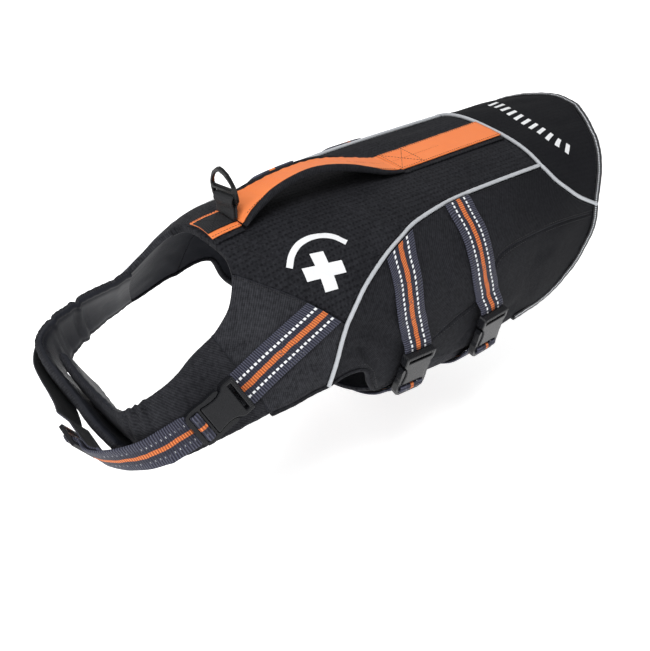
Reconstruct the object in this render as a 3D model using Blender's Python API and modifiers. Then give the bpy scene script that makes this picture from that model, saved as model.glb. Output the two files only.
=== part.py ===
"""Dog life jacket: a padded saddle of sewn panels worn round a dog's trunk.

Metres, +Z up, -Y towards the head, +X the dog's left side. The origin lies on the back
lining at the spine, where the dog's back carries the jacket. The tables are in millimetres
and are turned into metres by MM when a point is made.
"""
import bmesh
import bpy
from math import ceil, copysign, cos, pi, radians, sin
from mathutils import Matrix, Vector

MM = 0.001
SEAM_GAP = 0.34        # between two pieces that are sewn together
SPREAD = 0.05          # step used to measure a surface's slope

BACK_WALL = 6.0        # foam and cloth over the back
SIDE_WALL = 5.0        # foam and cloth at the sides
BELLY_WALL = 4.0
BAND_WALL = 8.0        # padded neck bands
WEB_WIDTH = 25.0
WEB_THICK = 1.8
WEB_LIFT = 0.7         # clear of the cloth below

# The trunk, a row for each section along the spine.
# y, spine height, half width, height of the widest place, lowest height,
# roundness of the upper half, roundness of the lower half, roll to the left in degrees
TRUNK = [
    (-215, -16, 97, -112, -150, 1.45, 2.2, 0),
    (-190, -5, 98, -104, -152, 1.6, 2.2, 0),
    (-155, -1, 99, -92, -151, 2.0, 2.2, 1),
    (-110, 0, 100, -86, -149, 2.4, 2.5, 1.5),
    (-60, 0, 101, -86, -155, 2.6, 2.65, 2),
    (0, 0, 99, -84, -157, 2.8, 2.8, 2.5),
    (50, 1, 95, -82, -154, 2.8, 2.9, 3),
    (100, 2, 91, -80, -148, 2.7, 3.0, 4),
    (150, 3, 88, -80, -145, 2.5, 3.0, 6),
    (210, 0, 84, -84, -140, 2.3, 3.0, 8),
]

# Edges and seams on the left half of the trunk: y, angle from the spine in degrees.
NECK_EDGE_TOP = [(-182, 0), (-181, 10), (-180, 20), (-183, 28)]
NECK_EDGE_SIDE = [(-183, 28), (-189, 34), (-196, 38.5), (-205, 41), (-210.5, 42)]
HINGE = [(-210.5, 42), (-208, 50), (-204, 58), (-198, 71), (-193, 81)]
LEG_EDGE_FRONT = [(-193, 81), (-171, 87), (-148, 90.5)]
LEG_EDGE_REAR = [(-148, 90.5), (-136, 90), (-126, 90.2), (-118, 91.2), (-112, 93.6), (-108.5, 98.5),
                 (-106, 105), (-101.5, 112), (-96, 117.5)]
SHOULDER_SEAM = [(-183, 28), (-171, 36), (-152, 48.5), (-127, 68)]
PIPING_LOW = [(-148, 90.5), (-140, 81.3), (-133.7, 74), (-127, 68)]
PIPING_TOP = [(-127, 68), (-116, 61.6), (-106, 56), (-90, 49), (-75, 43.4), (-59, 38.6),
              (-42, 34), (-11, 30), (12, 29), (38, 29.5), (68, 30.4), (100, 31.5)]
ARC_MIDDLE = [(101, -31.5), (100, -14), (100, 0), (100, 14), (100, 31.5)]
ARC_SIDE = [(100, 31.5), (105, 43.4), (114, 52), (126, 60), (146, 68)]
SIDE_SEAM = [(-96, 117.5), (-84, 109.5), (-72.5, 102), (-63.5, 95.6), (-50, 91.3), (-27, 89),
             (-3, 86.5), (10, 78), (24, 70.5), (73, 70), (133, 73)]
LOWER_FRONT = [(-96, 117.5), (-94.5, 119.5), (-92, 121.6)]
LOWER_HEM = [(-92, 121.6), (-83, 117.6), (-75, 111.8), (-63, 107.2), (-49.5, 105.5), (-35, 107.5),
             (-20, 109.8), (0, 109.8), (20, 108.8), (38, 109.2), (60, 108.3), (84, 109)]

# The belly panel: angle from the spine, front edge y, rear edge y, lift of its outer face.
# Its sides lie inside the side panels.
BELLY = [
    (94, -66, 42, -5.7),
    (113, -71, 46, -5.7),
    (119, -76, 49, -3.4),
    (126, -81, 52, -1.2),
    (150, -92, 58, -1),
    (180, -98, 61, -1.5),
]

# The tail hem: angle from its crown, y. At the spine the crown sits a little to the right.
HEM_CROWN = -7.0
HEM_CROWN_FADE = 90.0
TAIL_HEM = [(0, 205.5), (8, 204), (13.5, 198), (18, 194), (25.4, 187), (34.7, 180), (45.7, 170),
            (55.9, 160), (64.6, 152), (72, 148.5), (79.4, 147), (87.2, 140), (91.7, 130),
            (97.5, 116), (105, 100), (109, 84)]

# The neck bands, a row for each fold station: top edge x, y, z, bottom edge x, y, z, bulge.
# Both are the middle of the padded wall. The left band ends in the inner chest flap.
BAND_LEFT = [
    (57, -210, -44, 96, -193, -95, 0),
    (58, -228, -54, 90, -211, -101, 3),
    (63, -243, -60, 85, -230, -106, 4),
    (64, -256, -65, 80, -245, -111, 4),
    (64, -267, -68, 73, -256, -115, 4),
    (61, -276, -72, 64, -261, -119, 3),
    (52, -280, -79, 52, -257, -123, 2),
    (35, -278, -87, 32, -252, -128, 2),
    (10, -276, -91, 8, -250, -132, 2),
    (-18, -276, -90, -18, -250, -131, 2),
    (-42, -276, -84, -40, -251, -127, 1),
]
# The right band runs the same way on its side and ends in the outer flap.
BAND_RIGHT = [(-x, y, z, -u, v, w, b) for x, y, z, u, v, w, b in BAND_LEFT[:5]] + [
    (-62, -279, -74, -63, -267, -120, 1),
    (-56, -285.5, -79, -52, -266, -125, 1),
    (-40, -288, -83, -34, -260, -132, 3),
    (-8, -288, -91, -6, -257, -137, 3),
    (20, -287.5, -99, 20, -256, -138, 3),
    (48, -284.5, -105, 46, -258, -131, 3),
]

# Straps that lie on the trunk: y, angle.
BELLY_STRAPS = {
    "front": [(-60, 34), (-65, 42), (-69, 50), (-71, 60), (-73, 70), (-73, 78), (-70, 87), (-72, 90.5)],
    "rear": [(3.5, 24), (2, 32), (0, 40), (0, 52), (0, 64), (1, 76), (5, 85), (6.5, 90.5)],
}
NECK_STRAP = [(-124, 54.5), (-133, 57), (-142, 58.6), (-151, 59.9), (-161, 61), (-174, 61.9), (-185, 62.2),
              (-198, 62.7), (-208, 63.1)]

# The free run of the neck strap round the chest, a row for each bend of its middle line:
# x, y, z, how far its outer face tips upward in degrees.
CHEST_RUN = [
    (80, -265.5, -97.5, 9),
    (73, -276, -103, -8),
    (62, -285.5, -108.5, -22),
    (51, -291, -113, -31),
    (43, -293.5, -115.5, -35),
    (37, -294.5, -117, -36),
]
CHEST_RUN_RIGHT = [
    (-87.5, -222.5, -84, 28),
    (-87.4, -238, -87.5, 25),
    (-84.6, -253.8, -91.5, 19),
    (-77.8, -268, -96, 2),
    (-67, -279, -99.5, -15),
    (-54, -284.8, -102.5, -29),
    (-37, -287, -104.5, -34),
    (-20, -288.7, -106, -37),
    (-6, -291.4, -107.2, -36),
    (3, -294.2, -108, -36),
]
# The neck buckle's middle line, from the strap's end to the plug's: x, y, z.
NECK_BUCKLE = [(84.5, -210.5, -72.5), (81.5, -253, -94)]

# ---------------------------------------------------------------- surfaces

def between(rows, place):
    """A smooth curve through a table's rows, read at a value of the first column."""
    first = [row[0] for row in rows]
    place = min(max(place, first[0]), first[-1])
    k = max(i for i in range(len(rows) - 1) if first[i] <= place or i == 0)
    step = first[k + 1] - first[k]
    t = (place - first[k]) / step

    def slope(i, column):
        a, b = max(i - 1, 0), min(i + 1, len(rows) - 1)
        return (rows[b][column] - rows[a][column]) / (first[b] - first[a])

    values = []
    for column in range(1, len(rows[0])):
        p, q = rows[k][column], rows[k + 1][column]
        m, n = slope(k, column) * step, slope(k + 1, column) * step
        values.append((2 * t**3 - 3 * t**2 + 1) * p + (t**3 - 2 * t**2 + t) * m
                      + (3 * t**2 - 2 * t**3) * q + (t**3 - t**2) * n)
    return values


def trunk_skin(y, phi):
    """A point of the trunk's outer face, in millimetres."""
    top, half, wide, low, upper, lower, roll = between(TRUNK, y)
    s, c = sin(radians(phi)), cos(radians(phi))
    power = 2 / (upper if c >= 0 else lower)
    x = copysign(abs(s)**power, s) * half
    z = wide + (top - wide) * c**power if c >= 0 else wide - (wide - low) * abs(c)**power
    turn, drop = radians(roll), z - top
    return Vector((x * cos(turn) + drop * sin(turn), y, top - x * sin(turn) + drop * cos(turn)))


def lifted(skin, a, b, lift, step_a=SPREAD, step_b=SPREAD):
    """A point of any two-way surface, moved out along its normal."""
    point = skin(a, b)
    if not lift:
        return point
    along = skin(a + step_a, b) - skin(a - step_a, b)
    across = skin(a, b + step_b) - skin(a, b - step_b)
    return point + across.cross(along).normalized() * lift


def trunk(y, phi, lift=0.0):
    return lifted(trunk_skin, y, phi, lift, 1.0, 1.0)


def hem(phi):
    """Where the tail hem lies along the spine, at a signed angle."""
    crown = HEM_CROWN * max(0.0, 1 - abs(phi) / HEM_CROWN_FADE)
    return between(TAIL_HEM, abs(phi - crown))[0]


# ---------------------------------------------------------------- lines on the trunk

def smooth(rows, parts=8):
    """A table's rows as many points of a smooth curve through them."""
    keyed = [(i, *row) for i, row in enumerate(rows)]
    return [tuple(between(keyed, i / parts)) for i in range((len(rows) - 1) * parts + 1)]


def spaced(points, count, place):
    """count + 1 of the points' places, evenly spaced along the real surface."""
    spots = [place(*p) for p in points]
    run = [0.0]
    for a, b in zip(spots, spots[1:]):
        run.append(run[-1] + (b - a).length)
    keyed = []
    for length, p in zip(run, points):
        if not keyed or length > keyed[-1][0] + 1e-9:
            keyed.append((length, *p))
    result = []
    for i in range(count + 1):
        want = run[-1] * i / count
        k = max(j for j in range(len(keyed) - 1) if keyed[j][0] <= want or j == 0)
        t = (want - keyed[k][0]) / (keyed[k + 1][0] - keyed[k][0])
        result.append(tuple(p + (q - p) * min(t, 1.0) for p, q in zip(keyed[k][1:], keyed[k + 1][1:])))
    return result


def seam(rows, count, side=1):
    """A named edge on the left (side 1) or right (side -1), as evenly spaced places."""
    rows = [(y, side * phi) for y, phi in rows]
    return spaced(smooth(rows), count, trunk_skin)


def to_hem(line, phi_end):
    """Slides a line's rear end onto the tail hem, the rest following less and less."""
    shift = hem(phi_end) - line[-1][0]
    last = len(line) - 1
    return [(y + shift * (i / last)**3, phi) for i, (y, phi) in enumerate(line)]


def hem_line(phi_a, phi_b, count):
    steps = ceil(abs(phi_b - phi_a))
    angles = [phi_a + (phi_b - phi_a) * i / steps for i in range(steps + 1)]
    return spaced([(hem(phi), phi) for phi in angles], count, trunk_skin)


def joined(*lines):
    result = list(lines[0])
    for line in lines[1:]:
        result += line[1:]
    return result


# ---------------------------------------------------------------- solids

COLLECTION = bpy.data.collections.new("dog_life_jacket")
LIFT_TO_ORIGIN = Matrix.Translation((0, 0, BACK_WALL))


def clear_scene():
    for item in list(bpy.data.objects):
        bpy.data.objects.remove(item, do_unlink=True)
    bpy.context.scene.collection.children.link(COLLECTION)


def material(name, colour, roughness, metallic=0.0):
    mat = bpy.data.materials.get(name)
    if mat is None:
        mat = bpy.data.materials.new(name)
        mat.use_nodes = True
        shader = mat.node_tree.nodes["Principled BSDF"]
        shader.inputs["Base Color"].default_value = (*colour, 1.0)
        shader.inputs["Roughness"].default_value = roughness
        shader.inputs["Metallic"].default_value = metallic
    return mat


def black_cloth():
    return material("black_cloth", (0.018, 0.018, 0.021), 0.75)


def twill_cloth():
    return material("twill_cloth", (0.022, 0.022, 0.026), 0.75)


def orange_cloth():
    return material("orange_cloth", (0.85, 0.21, 0.05), 0.6)


def striped_webbing():
    return material("striped_webbing", (0.04, 0.04, 0.06), 0.7)


def black_webbing():
    return material("black_webbing", (0.015, 0.015, 0.017), 0.7)


def reflective_piping():
    return material("reflective_piping", (0.4, 0.41, 0.43), 0.4)


def edge_trim():
    return material("edge_trim", (0.03, 0.03, 0.03), 0.7)


def ring_plastic():
    return material("ring_plastic", (0.02, 0.02, 0.022), 0.45)


def buckle_plastic():
    return material("buckle_plastic", (0.03, 0.031, 0.034), 0.4)


def solid(name, points, faces, mat):
    """A named object from points in millimetres, its faces turned outward."""
    mesh = bpy.data.meshes.new(name)
    mesh.from_pydata([tuple(p) for p in points], [], faces)
    work = bmesh.new()
    work.from_mesh(mesh)
    bmesh.ops.transform(work, verts=work.verts, matrix=Matrix.Scale(MM, 4) @ LIFT_TO_ORIGIN)
    bmesh.ops.recalc_face_normals(work, faces=work.faces)
    work.to_mesh(mesh)
    work.free()
    mesh.materials.append(mat)
    mesh.shade_smooth()
    mesh.set_sharp_from_angle(angle=radians(40))
    item = bpy.data.objects.new(name, mesh)
    COLLECTION.objects.link(item)


def wall(name, outer, inner, mat):
    """A closed wall between two grids of points of the same size."""
    rows, columns = len(outer), len(outer[0])
    points = [p for grid in (outer, inner) for row in grid for p in row]

    def at(layer, i, j):
        return layer * rows * columns + i * columns + j

    faces = []
    for i in range(rows - 1):
        for j in range(columns - 1):
            faces.append((at(0, i, j), at(0, i, j + 1), at(0, i + 1, j + 1), at(0, i + 1, j)))
            faces.append((at(1, i, j), at(1, i + 1, j), at(1, i + 1, j + 1), at(1, i, j + 1)))
    rim = [(0, j) for j in range(columns)] + [(i, columns - 1) for i in range(1, rows)]
    rim += [(rows - 1, j) for j in range(columns - 2, -1, -1)] + [(i, 0) for i in range(rows - 2, 0, -1)]
    for (i, j), (m, n) in zip(rim, rim[1:] + rim[:1]):
        faces.append((at(0, i, j), at(1, i, j), at(1, m, n), at(0, m, n)))
    solid(name, points, faces, mat)


def bar(name, rings, mat):
    """A closed bar through rings of points, with flat ends."""
    size = len(rings[0])
    points = [p for ring in rings for p in ring]
    faces = [tuple(range(size)), tuple(reversed(range(len(points) - size, len(points))))]
    for k in range(len(rings) - 1):
        for i in range(size):
            j = (i + 1) % size
            faces.append((k * size + i, (k + 1) * size + i, (k + 1) * size + j, k * size + j))
    solid(name, points, faces, mat)


def cord_curve(name, points, radius, mat):
    """A round tube along points in millimetres, as a bevelled curve."""
    data = bpy.data.curves.new(name, "CURVE")
    data.dimensions = "3D"
    data.bevel_depth = radius * MM
    data.bevel_resolution = 1
    data.use_fill_caps = True
    spline = data.splines.new("POLY")
    spline.points.add(len(points) - 1)
    for knot, p in zip(spline.points, points):
        knot.co = (*((LIFT_TO_ORIGIN @ Vector(p)) * MM), 1.0)
    data.materials.append(mat)
    item = bpy.data.objects.new(name, data)
    COLLECTION.objects.link(item)


# ---------------------------------------------------------------- sewn panels

def patch(front, rear, right, left):
    """Places inside four edges. front and rear run right to left, right and left front to rear."""
    rows, columns = len(left) - 1, len(front) - 1
    grid = []
    for i in range(rows + 1):
        u = i / rows
        line = []
        for j in range(columns + 1):
            v = j / columns
            line.append(tuple(
                (1 - u) * front[j][k] + u * rear[j][k] + (1 - v) * right[i][k] + v * left[i][k]
                - (1 - u) * (1 - v) * front[0][k] - (1 - u) * v * front[-1][k]
                - u * (1 - v) * rear[0][k] - u * v * rear[-1][k] for k in range(2)))
        grid.append(line)
    return grid


CORNER_REACH = 1.5     # a corner is drawn in this much more than an edge
FARTHEST = 0.4         # the largest share of its grid cell that an edge place moves


def drawn_in(grid, amount):
    """Moves the grid's edge places inward, so that sewn pieces stay apart."""
    rows, columns = len(grid), len(grid[0])
    result = [list(row) for row in grid]
    for i in range(rows):
        for j in range(columns):
            m = 1 if i == 0 else rows - 2 if i == rows - 1 else i
            n = 1 if j == 0 else columns - 2 if j == columns - 1 else j
            if (m, n) == (i, j):
                continue
            here, there = grid[i][j], grid[m][n]
            length = (trunk_skin(*there) - trunk_skin(*here)).length
            reach = amount * (CORNER_REACH if m != i and n != j else 1.0)
            t = min(reach / max(length, 1e-6), FARTHEST)
            result[i][j] = tuple(a + (b - a) * t for a, b in zip(here, there))
    return result


def trunk_panel(name, grid, thickness, mat, gap=SEAM_GAP / 2):
    grid = drawn_in(grid, gap)
    outer = [[trunk(y, phi) for y, phi in row] for row in grid]
    inner = [[trunk(y, phi, -thickness) for y, phi in row] for row in grid]
    return wall(name, outer, inner, mat)


SEAM_STEPS = 6         # along the shoulder seam
LOW_STEPS = 4          # along the low end of the piping
TOP_STEPS = 15         # along the rest of the piping
ARC_STEPS = 5          # along each side of the arc
MIDDLE_STEPS = 6       # across the back
HINGE_STEPS = 5        # down the crease where a neck band starts
SIDE_STEPS = 5
TRIM_END = 52.0        # how far forward the hem trim runs along the lower edge
TAIL_CORNER = 11.0     # degrees of the hem at each side of the tail that close the flanks


def make_panels():
    edges = {}
    for side in (1, -1):
        arc_side = to_hem(seam(ARC_SIDE, ARC_STEPS, side), side * ARC_SIDE[-1][1])
        side_seam = to_hem(seam(SIDE_SEAM, LOW_STEPS + TOP_STEPS + ARC_STEPS, side),
                           side * SIDE_SEAM[-1][1])
        edges[side] = {
            "shoulder": seam(SHOULDER_SEAM, SEAM_STEPS, side),
            "low": seam(PIPING_LOW, LOW_STEPS, side),
            "top": seam(PIPING_TOP, TOP_STEPS, side),
            "arc": arc_side,
            "side": side_seam,
            "hinge": seam(HINGE, HINGE_STEPS, side),
            "neck": seam(NECK_EDGE_SIDE, LOW_STEPS, side),
        }
    right, left = edges[-1], edges[1]
    cloth, twill = black_cloth(), twill_cloth()

    neck_right = seam(NECK_EDGE_TOP, MIDDLE_STEPS // 2, -1)
    neck_left = seam(NECK_EDGE_TOP, MIDDLE_STEPS // 2, 1)
    neck = neck_right[::-1] + neck_left[1:]
    arc_middle = spaced(smooth(ARC_MIDDLE), MIDDLE_STEPS, trunk_skin)
    trunk_panel("back_panel", patch(neck, arc_middle, joined(right["shoulder"], right["top"]),
                                    joined(left["shoulder"], left["top"])), BACK_WALL, cloth,
                SEAM_GAP)

    ends = {side: edges[side]["arc"][-1] for side in (1, -1)}
    corner = {side: side * (abs(ends[side][1]) - TAIL_CORNER) for side in (1, -1)}
    flank = {side: hem_line(ends[side][1], corner[side], SIDE_STEPS) for side in (1, -1)}
    arc = joined(right["arc"][::-1], arc_middle, left["arc"])
    tail = hem_line(corner[-1], corner[1], len(arc) - 1)
    trunk_panel("rear_panel", patch(arc, tail, flank[-1], flank[1]), SIDE_WALL, cloth)

    for side, word in ((1, "left"), (-1, "right")):
        e = edges[side]
        steps = HINGE_STEPS + LOW_STEPS
        low_edge = seam(LEG_EDGE_FRONT, SEAM_STEPS, side)
        front = joined(e["hinge"][::-1], e["neck"][::-1])
        rear = seam(PIPING_LOW, steps, side)
        trunk_panel(f"shoulder_{word}", patch(front, rear, low_edge, e["shoulder"]), SIDE_WALL, twill)

        upper = joined(e["low"], e["top"], e["arc"])
        leg_edge = seam(LEG_EDGE_REAR, SIDE_STEPS, side)
        rear_edge = hem_line(e["arc"][-1][1], e["side"][-1][1], SIDE_STEPS)
        trunk_panel(f"side_upper_{word}", patch(leg_edge, rear_edge, upper, e["side"]),
                    SIDE_WALL, twill)

        low_front = seam(LOWER_FRONT, SIDE_STEPS, side)
        low_hem = seam(LOWER_HEM, LOW_STEPS + TOP_STEPS + ARC_STEPS, side)
        low_hem = to_hem(low_hem, side * LOWER_HEM[-1][1])
        rear_low = hem_line(e["side"][-1][1], low_hem[-1][1], SIDE_STEPS)
        trunk_panel(f"side_lower_{word}", patch(low_front, rear_low, e["side"], low_hem),
                    SIDE_WALL, twill)
        under = [place for place in low_hem[::-1] if place[0] > TRIM_END]
        e["hem"] = joined(flank[side][::-1], rear_edge, rear_low, under)
        e["leg"] = joined(low_edge, leg_edge)
    right["hem"] = joined(right["hem"][::-1], tail)
    return edges


BELLY_ROWS = 9
BELLY_COLUMNS = 16


def make_belly():
    """The panel under the belly, from inside one side panel to inside the other."""
    start = BELLY[0][0]
    outer, inner = [], []
    for i in range(BELLY_ROWS + 1):
        rows = ([], [])
        for j in range(BELLY_COLUMNS + 1):
            phi = start + (360 - 2 * start) * j / BELLY_COLUMNS
            front, rear, lift = between(BELLY, min(phi, 360 - phi))
            y = front + (rear - front) * i / BELLY_ROWS
            rows[0].append(trunk(y, phi, lift))
            rows[1].append(trunk(y, phi, lift - BELLY_WALL))
        outer.append(rows[0])
        inner.append(rows[1])
    wall("belly_panel", outer, inner, black_cloth())


# ---------------------------------------------------------------- neck bands

HINGE_BLEND = 1.6      # fold stations over which a band leaves the shoulder's shape
BAND_EDGE = 0.62       # a band's thickness at its edges, as a share of the middle
HINGE_NUDGE = 0.02     # fold stations that keep a band off its shoulder panel
BAND_TABLES = {1: BAND_LEFT, -1: BAND_RIGHT}


def band_skin(side, s, t):
    """The middle of a neck band: s counts fold stations, t runs from top to bottom edge."""
    rows = [(i, *row) for i, row in enumerate(BAND_TABLES[side])]
    values = between(rows, s)
    top, bottom, bulge = Vector(values[0:3]), Vector(values[3:6]), values[6]
    across = bottom - top
    ahead = between(rows, min(s + 0.1, len(rows) - 1))
    behind = between(rows, max(s - 0.1, 0))
    along = Vector(ahead[0:3]) + Vector(ahead[3:6]) - Vector(behind[0:3]) - Vector(behind[3:6])
    out = along.cross(across).normalized() * side
    return top + across * t + out * bulge * sin(pi * t)


HINGE_LINES = {side: seam(HINGE, 20, side) for side in (1, -1)}


def hinge_place(side, t):
    line = HINGE_LINES[side]
    k = min(int(t * 20), 19)
    part = t * 20 - k
    return tuple(a + (b - a) * part for a, b in zip(line[k], line[k + 1]))


def band(side, s, t, lift=0.0):
    """A point of a neck band, lifted from its middle."""
    step = 0.02
    point = band_skin(side, s, t)
    along = band_skin(side, s + step, t) - band_skin(side, s - step, t)
    across = band_skin(side, s, t + step) - band_skin(side, s, t - step)
    out = (along.cross(across) * side).normalized()
    if s < HINGE_BLEND:
        place = hinge_place(side, min(max(t, 0.0), 1.0))
        mid = trunk(*place, -BAND_WALL / 2)
        trunk_out = (trunk(*place, 1.0) - trunk(*place, 0.0)).normalized()
        share = (1 - s / HINGE_BLEND)**2
        point = point + (mid - band_skin(side, 0, t)) * share
        out = (out * (1 - share) + trunk_out * share).normalized()
    return point + out * lift


BAND_ROWS = 22


def make_bands():
    for side, word in ((1, "left"), (-1, "right")):
        last = len(BAND_TABLES[side]) - 1
        outer, inner = [], []
        for i in range(BAND_ROWS + 1):
            s = last * i / BAND_ROWS
            rows = ([], [])
            for j in range(HINGE_STEPS + 1):
                t = j / HINGE_STEPS
                half = BAND_WALL / 2 * (BAND_EDGE if j in (0, HINGE_STEPS) and i else 1.0)
                if i == BAND_ROWS:
                    half *= BAND_EDGE
                nudge = HINGE_NUDGE if i == 0 else 0.0
                rows[0].append(band(side, s + nudge, t, half))
                rows[1].append(band(side, s + nudge, t, -half))
            outer.append(rows[0])
            inner.append(rows[1])
        wall(f"neck_band_{word}", outer, inner, black_cloth())


# ---------------------------------------------------------------- pipings and bindings

PIPING_RADIUS = 1.5
PIPING_LIFT = PIPING_RADIUS + 0.35
PIPING_SHORT = (0.15, 0.35)  # how much of its first and last step a side piping stops short


def make_pipings(edges):
    grey = reflective_piping()
    for side, word in ((1, "left"), (-1, "right")):
        line = joined(edges[side]["low"], edges[side]["top"])
        points = [trunk(y, phi, PIPING_LIFT) for y, phi in line]
        points[-1] = points[-1].lerp(points[-2], PIPING_SHORT[1])
        points[0] = points[0].lerp(points[1], PIPING_SHORT[0])
        cord_curve(f"piping_{word}", points, PIPING_RADIUS, grey)
    right, left = edges[-1]["arc"], edges[1]["arc"]
    middle = spaced(smooth(ARC_MIDDLE), MIDDLE_STEPS * 2, trunk_skin)
    line = joined(right[::-1], middle, left)
    points = [trunk(y, phi, PIPING_LIFT) for y, phi in line]
    cord_curve("piping_arc", points, PIPING_RADIUS, grey)


BINDING_REACH = 2.2    # how far a binding stands beyond the cloth's edge
BINDING_GAP = 0.45     # between the cloth's edge and the binding
BINDING_LAYER = 0.6    # how far it laps over the cloth's two faces
BINDING_NARROW = 0.8   # its folded edge is this much narrower


def edge_strip(name, line, turn, wall_thick, mat):
    """A folded binding over a free edge: a thin bar that caps the wall, just clear of it."""
    rings = []
    for k, (y, phi) in enumerate(line):
        before, after = line[max(k - 1, 0)], line[min(k + 1, len(line) - 1)]
        run = trunk_skin(*after) - trunk_skin(*before)
        edge_out, edge_in = trunk(y, phi, BINDING_LAYER), trunk(y, phi, -wall_thick - BINDING_LAYER)
        away = run.cross(edge_out - edge_in).normalized() * turn
        near, far = BINDING_GAP, (BINDING_GAP + BINDING_REACH) * BINDING_NARROW
        rings.append([edge_out + away * near, edge_out + away * far,
                      edge_in + away * far, edge_in + away * near])
    bar(name, rings, mat)


def make_edges(edges):
    hem_all = joined(edges[-1]["hem"], edges[1]["hem"])
    edge_strip("hem_trim", hem_all, -1, SIDE_WALL, edge_trim())
    for side, word in ((1, "left"), (-1, "right")):
        edge_strip(f"leg_binding_{word}", edges[side]["leg"], side, SIDE_WALL, black_cloth())


# ---------------------------------------------------------------- strips along the spine

BASE_HALF = 19.0       # half width of the black base strip
STRIP_HALF = 14.5      # half width of the orange strip
PATCH_HALF = 11.5      # half width of the ring's webbing
LAYER = 1.0            # thickness of a strip
LAYER_GAP = 0.35
STRIP_FRONT = -180.0
STRIP_REAR = 97.0
HANDLE_REAR = -10.0
FOOT_GAP = 0.6         # between the handle's front foot and the strips before it
BASE_LIFT = LAYER_GAP
STRIP_LIFT = BASE_LIFT + LAYER + LAYER_GAP
PATCH_LIFT = STRIP_LIFT + LAYER + LAYER_GAP
PATCH_THICK = 1.4
PATCH_AHEAD = 0.5      # how far the ring's webbing stands before the strips


def spine_point(y, x, lift):
    """A point near the spine by its distance from it, lifted straight up."""
    low, high = 0.0, 60.0
    for _ in range(24):
        mid = (low + high) / 2
        if (trunk_skin(y, mid) - trunk_skin(y, 0)).length < abs(x):
            low = mid
        else:
            high = mid
    return trunk_skin(y, copysign(low, x)) + Vector((0, 0, lift))


def spine_strip(name, y_front, y_rear, half, lift, mat, steps, thick=LAYER):
    shares = (-1, -0.5, 0, 0.5, 1)
    rings = []
    for i in range(steps + 1):
        y = y_front + (y_rear - y_front) * i / steps
        ring = [spine_point(y, share * half, lift) for share in shares]
        ring += [spine_point(y, share * half, lift + thick) for share in shares[::-1]]
        rings.append(ring)
    bar(name, rings, mat)


# The grab handle: y, height of its top, turn about its run in degrees, thickness of its core.
HANDLE = [
    (-155.9, 1.85, 0, 1.2),
    (-154.6, 2.3, 0, 1.2),
    (-152.3, 7.0, 3, 2.0),
    (-148, 11.6, 8, 3.2),
    (-140, 14.8, 12, 4.0),
    (-128, 17.8, 14, 4.4),
    (-114, 20.0, 14, 4.6),
    (-98, 21.4, 13, 4.6),
    (-84, 21.0, 9, 4.6),
    (-70, 19.0, 5, 4.6),
    (-56, 15.6, 2, 4.4),
    (-42, 11.2, 0, 4.0),
    (-30, 7.2, 0, 3.2),
    (-20, 4.2, 0, 2.0),
    (-14, 3.0, 0, 1.2),
    (-11, 2.95, 0, 1.2),
]
HANDLE_STEPS = 24


def section(middle, across, up, half, low, high, soft):
    """A flat section with softened corners, from height low to height high."""
    soft = min(soft, (high - low) * 0.36)
    ring = []
    for x, z in ((-half + soft, low), (0, low), (half - soft, low), (half, low + soft),
                 (half, high - soft), (half - soft, high), (0, high), (-half + soft, high),
                 (-half, high - soft), (-half, low + soft)):
        ring.append(middle + across * x + up * z)
    return ring


def make_handle(cloth, orange):
    run = spaced(smooth(HANDLE), HANDLE_STEPS, lambda y, z, turn, core: Vector((0, y, z)))
    core_rings, strip_rings = [], []
    for i, (y, z, turn, core) in enumerate(run):
        a, b = run[max(i - 1, 0)], run[min(i + 1, len(run) - 1)]
        slope = Vector((0, b[0] - a[0], b[1] - a[1])).normalized()
        up = Vector((0, -slope.z, slope.y))
        across = Vector((cos(radians(turn)), 0, 0)) + up * sin(radians(turn))
        up = up * cos(radians(turn)) - Vector((sin(radians(turn)), 0, 0))
        middle = Vector((0, y, z))
        under = -LAYER - LAYER_GAP
        core_rings.append(section(middle, across, up, BASE_HALF, under - core, under, 1.8))
        strip_rings.append(section(middle, across, up, STRIP_HALF, -LAYER, 0, 0.3))
    bar("handle_core", core_rings, cloth)
    bar("handle_strip", strip_rings, orange)


def make_spine():
    cloth, orange, web = black_cloth(), orange_cloth(), black_webbing()
    foot = HANDLE[0][0] - FOOT_GAP
    spine_strip("base_front", STRIP_FRONT, foot, BASE_HALF, BASE_LIFT, cloth, 4)
    spine_strip("base_rear", HANDLE_REAR, STRIP_REAR, BASE_HALF, BASE_LIFT, cloth, 8)
    spine_strip("strip_front", STRIP_FRONT, foot, STRIP_HALF, STRIP_LIFT, orange, 4)
    spine_strip("strip_rear", HANDLE_REAR, STRIP_REAR, STRIP_HALF, STRIP_LIFT, orange, 8)
    spine_strip("ring_patch", STRIP_FRONT - PATCH_AHEAD, foot, PATCH_HALF, PATCH_LIFT, web, 3,
                PATCH_THICK)
    make_handle(cloth, orange)


# ---------------------------------------------------------------- leash ring

LOOP_Y = -158.5
RING_HEIGHT = 15.5     # its lower bar's middle above the back
RING_YAW = 12.0        # the ring is turned a little to the left
RING_LEAN = 12.0       # and leans towards the head
RING_WIRE = 3.2
RING_OUTLINE = [(10.2, -1.6), (11.3, -0.4), (11.6, 3.2), (11.6, 7), (10.9, 11.8), (9, 16.4),
                (6.8, 20.6), (3.1, 23.8), (0, 25)]
RING_SLOT = [(9.3, 1.6), (9.3, 6.2)]
RING_EYE = [(8.7, 9.0), (9.1, 10.2), (8.4, 13.2), (6.4, 16.8), (3.6, 20.0), (0, 21.9)]
LOOP_HALF = 8.7        # half width where the ring hangs
LOOP_FOOT_HALF = 10.5
LOOP_THICK = 1.6
LOOP_TAPER = 1.6       # how soon the loop narrows and turns above its foot
# Half of the loop's middle line seen from the side: how far off the ring's bar, height from it.
LOOP_RUN = [(1.35, -11.9), (1.35, -8), (1.5, -5.2), (2.5, -2.9), (3.35, -0.6), (2.9, 1.8), (1.5, 3.1),
            (0, 3.5)]


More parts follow.
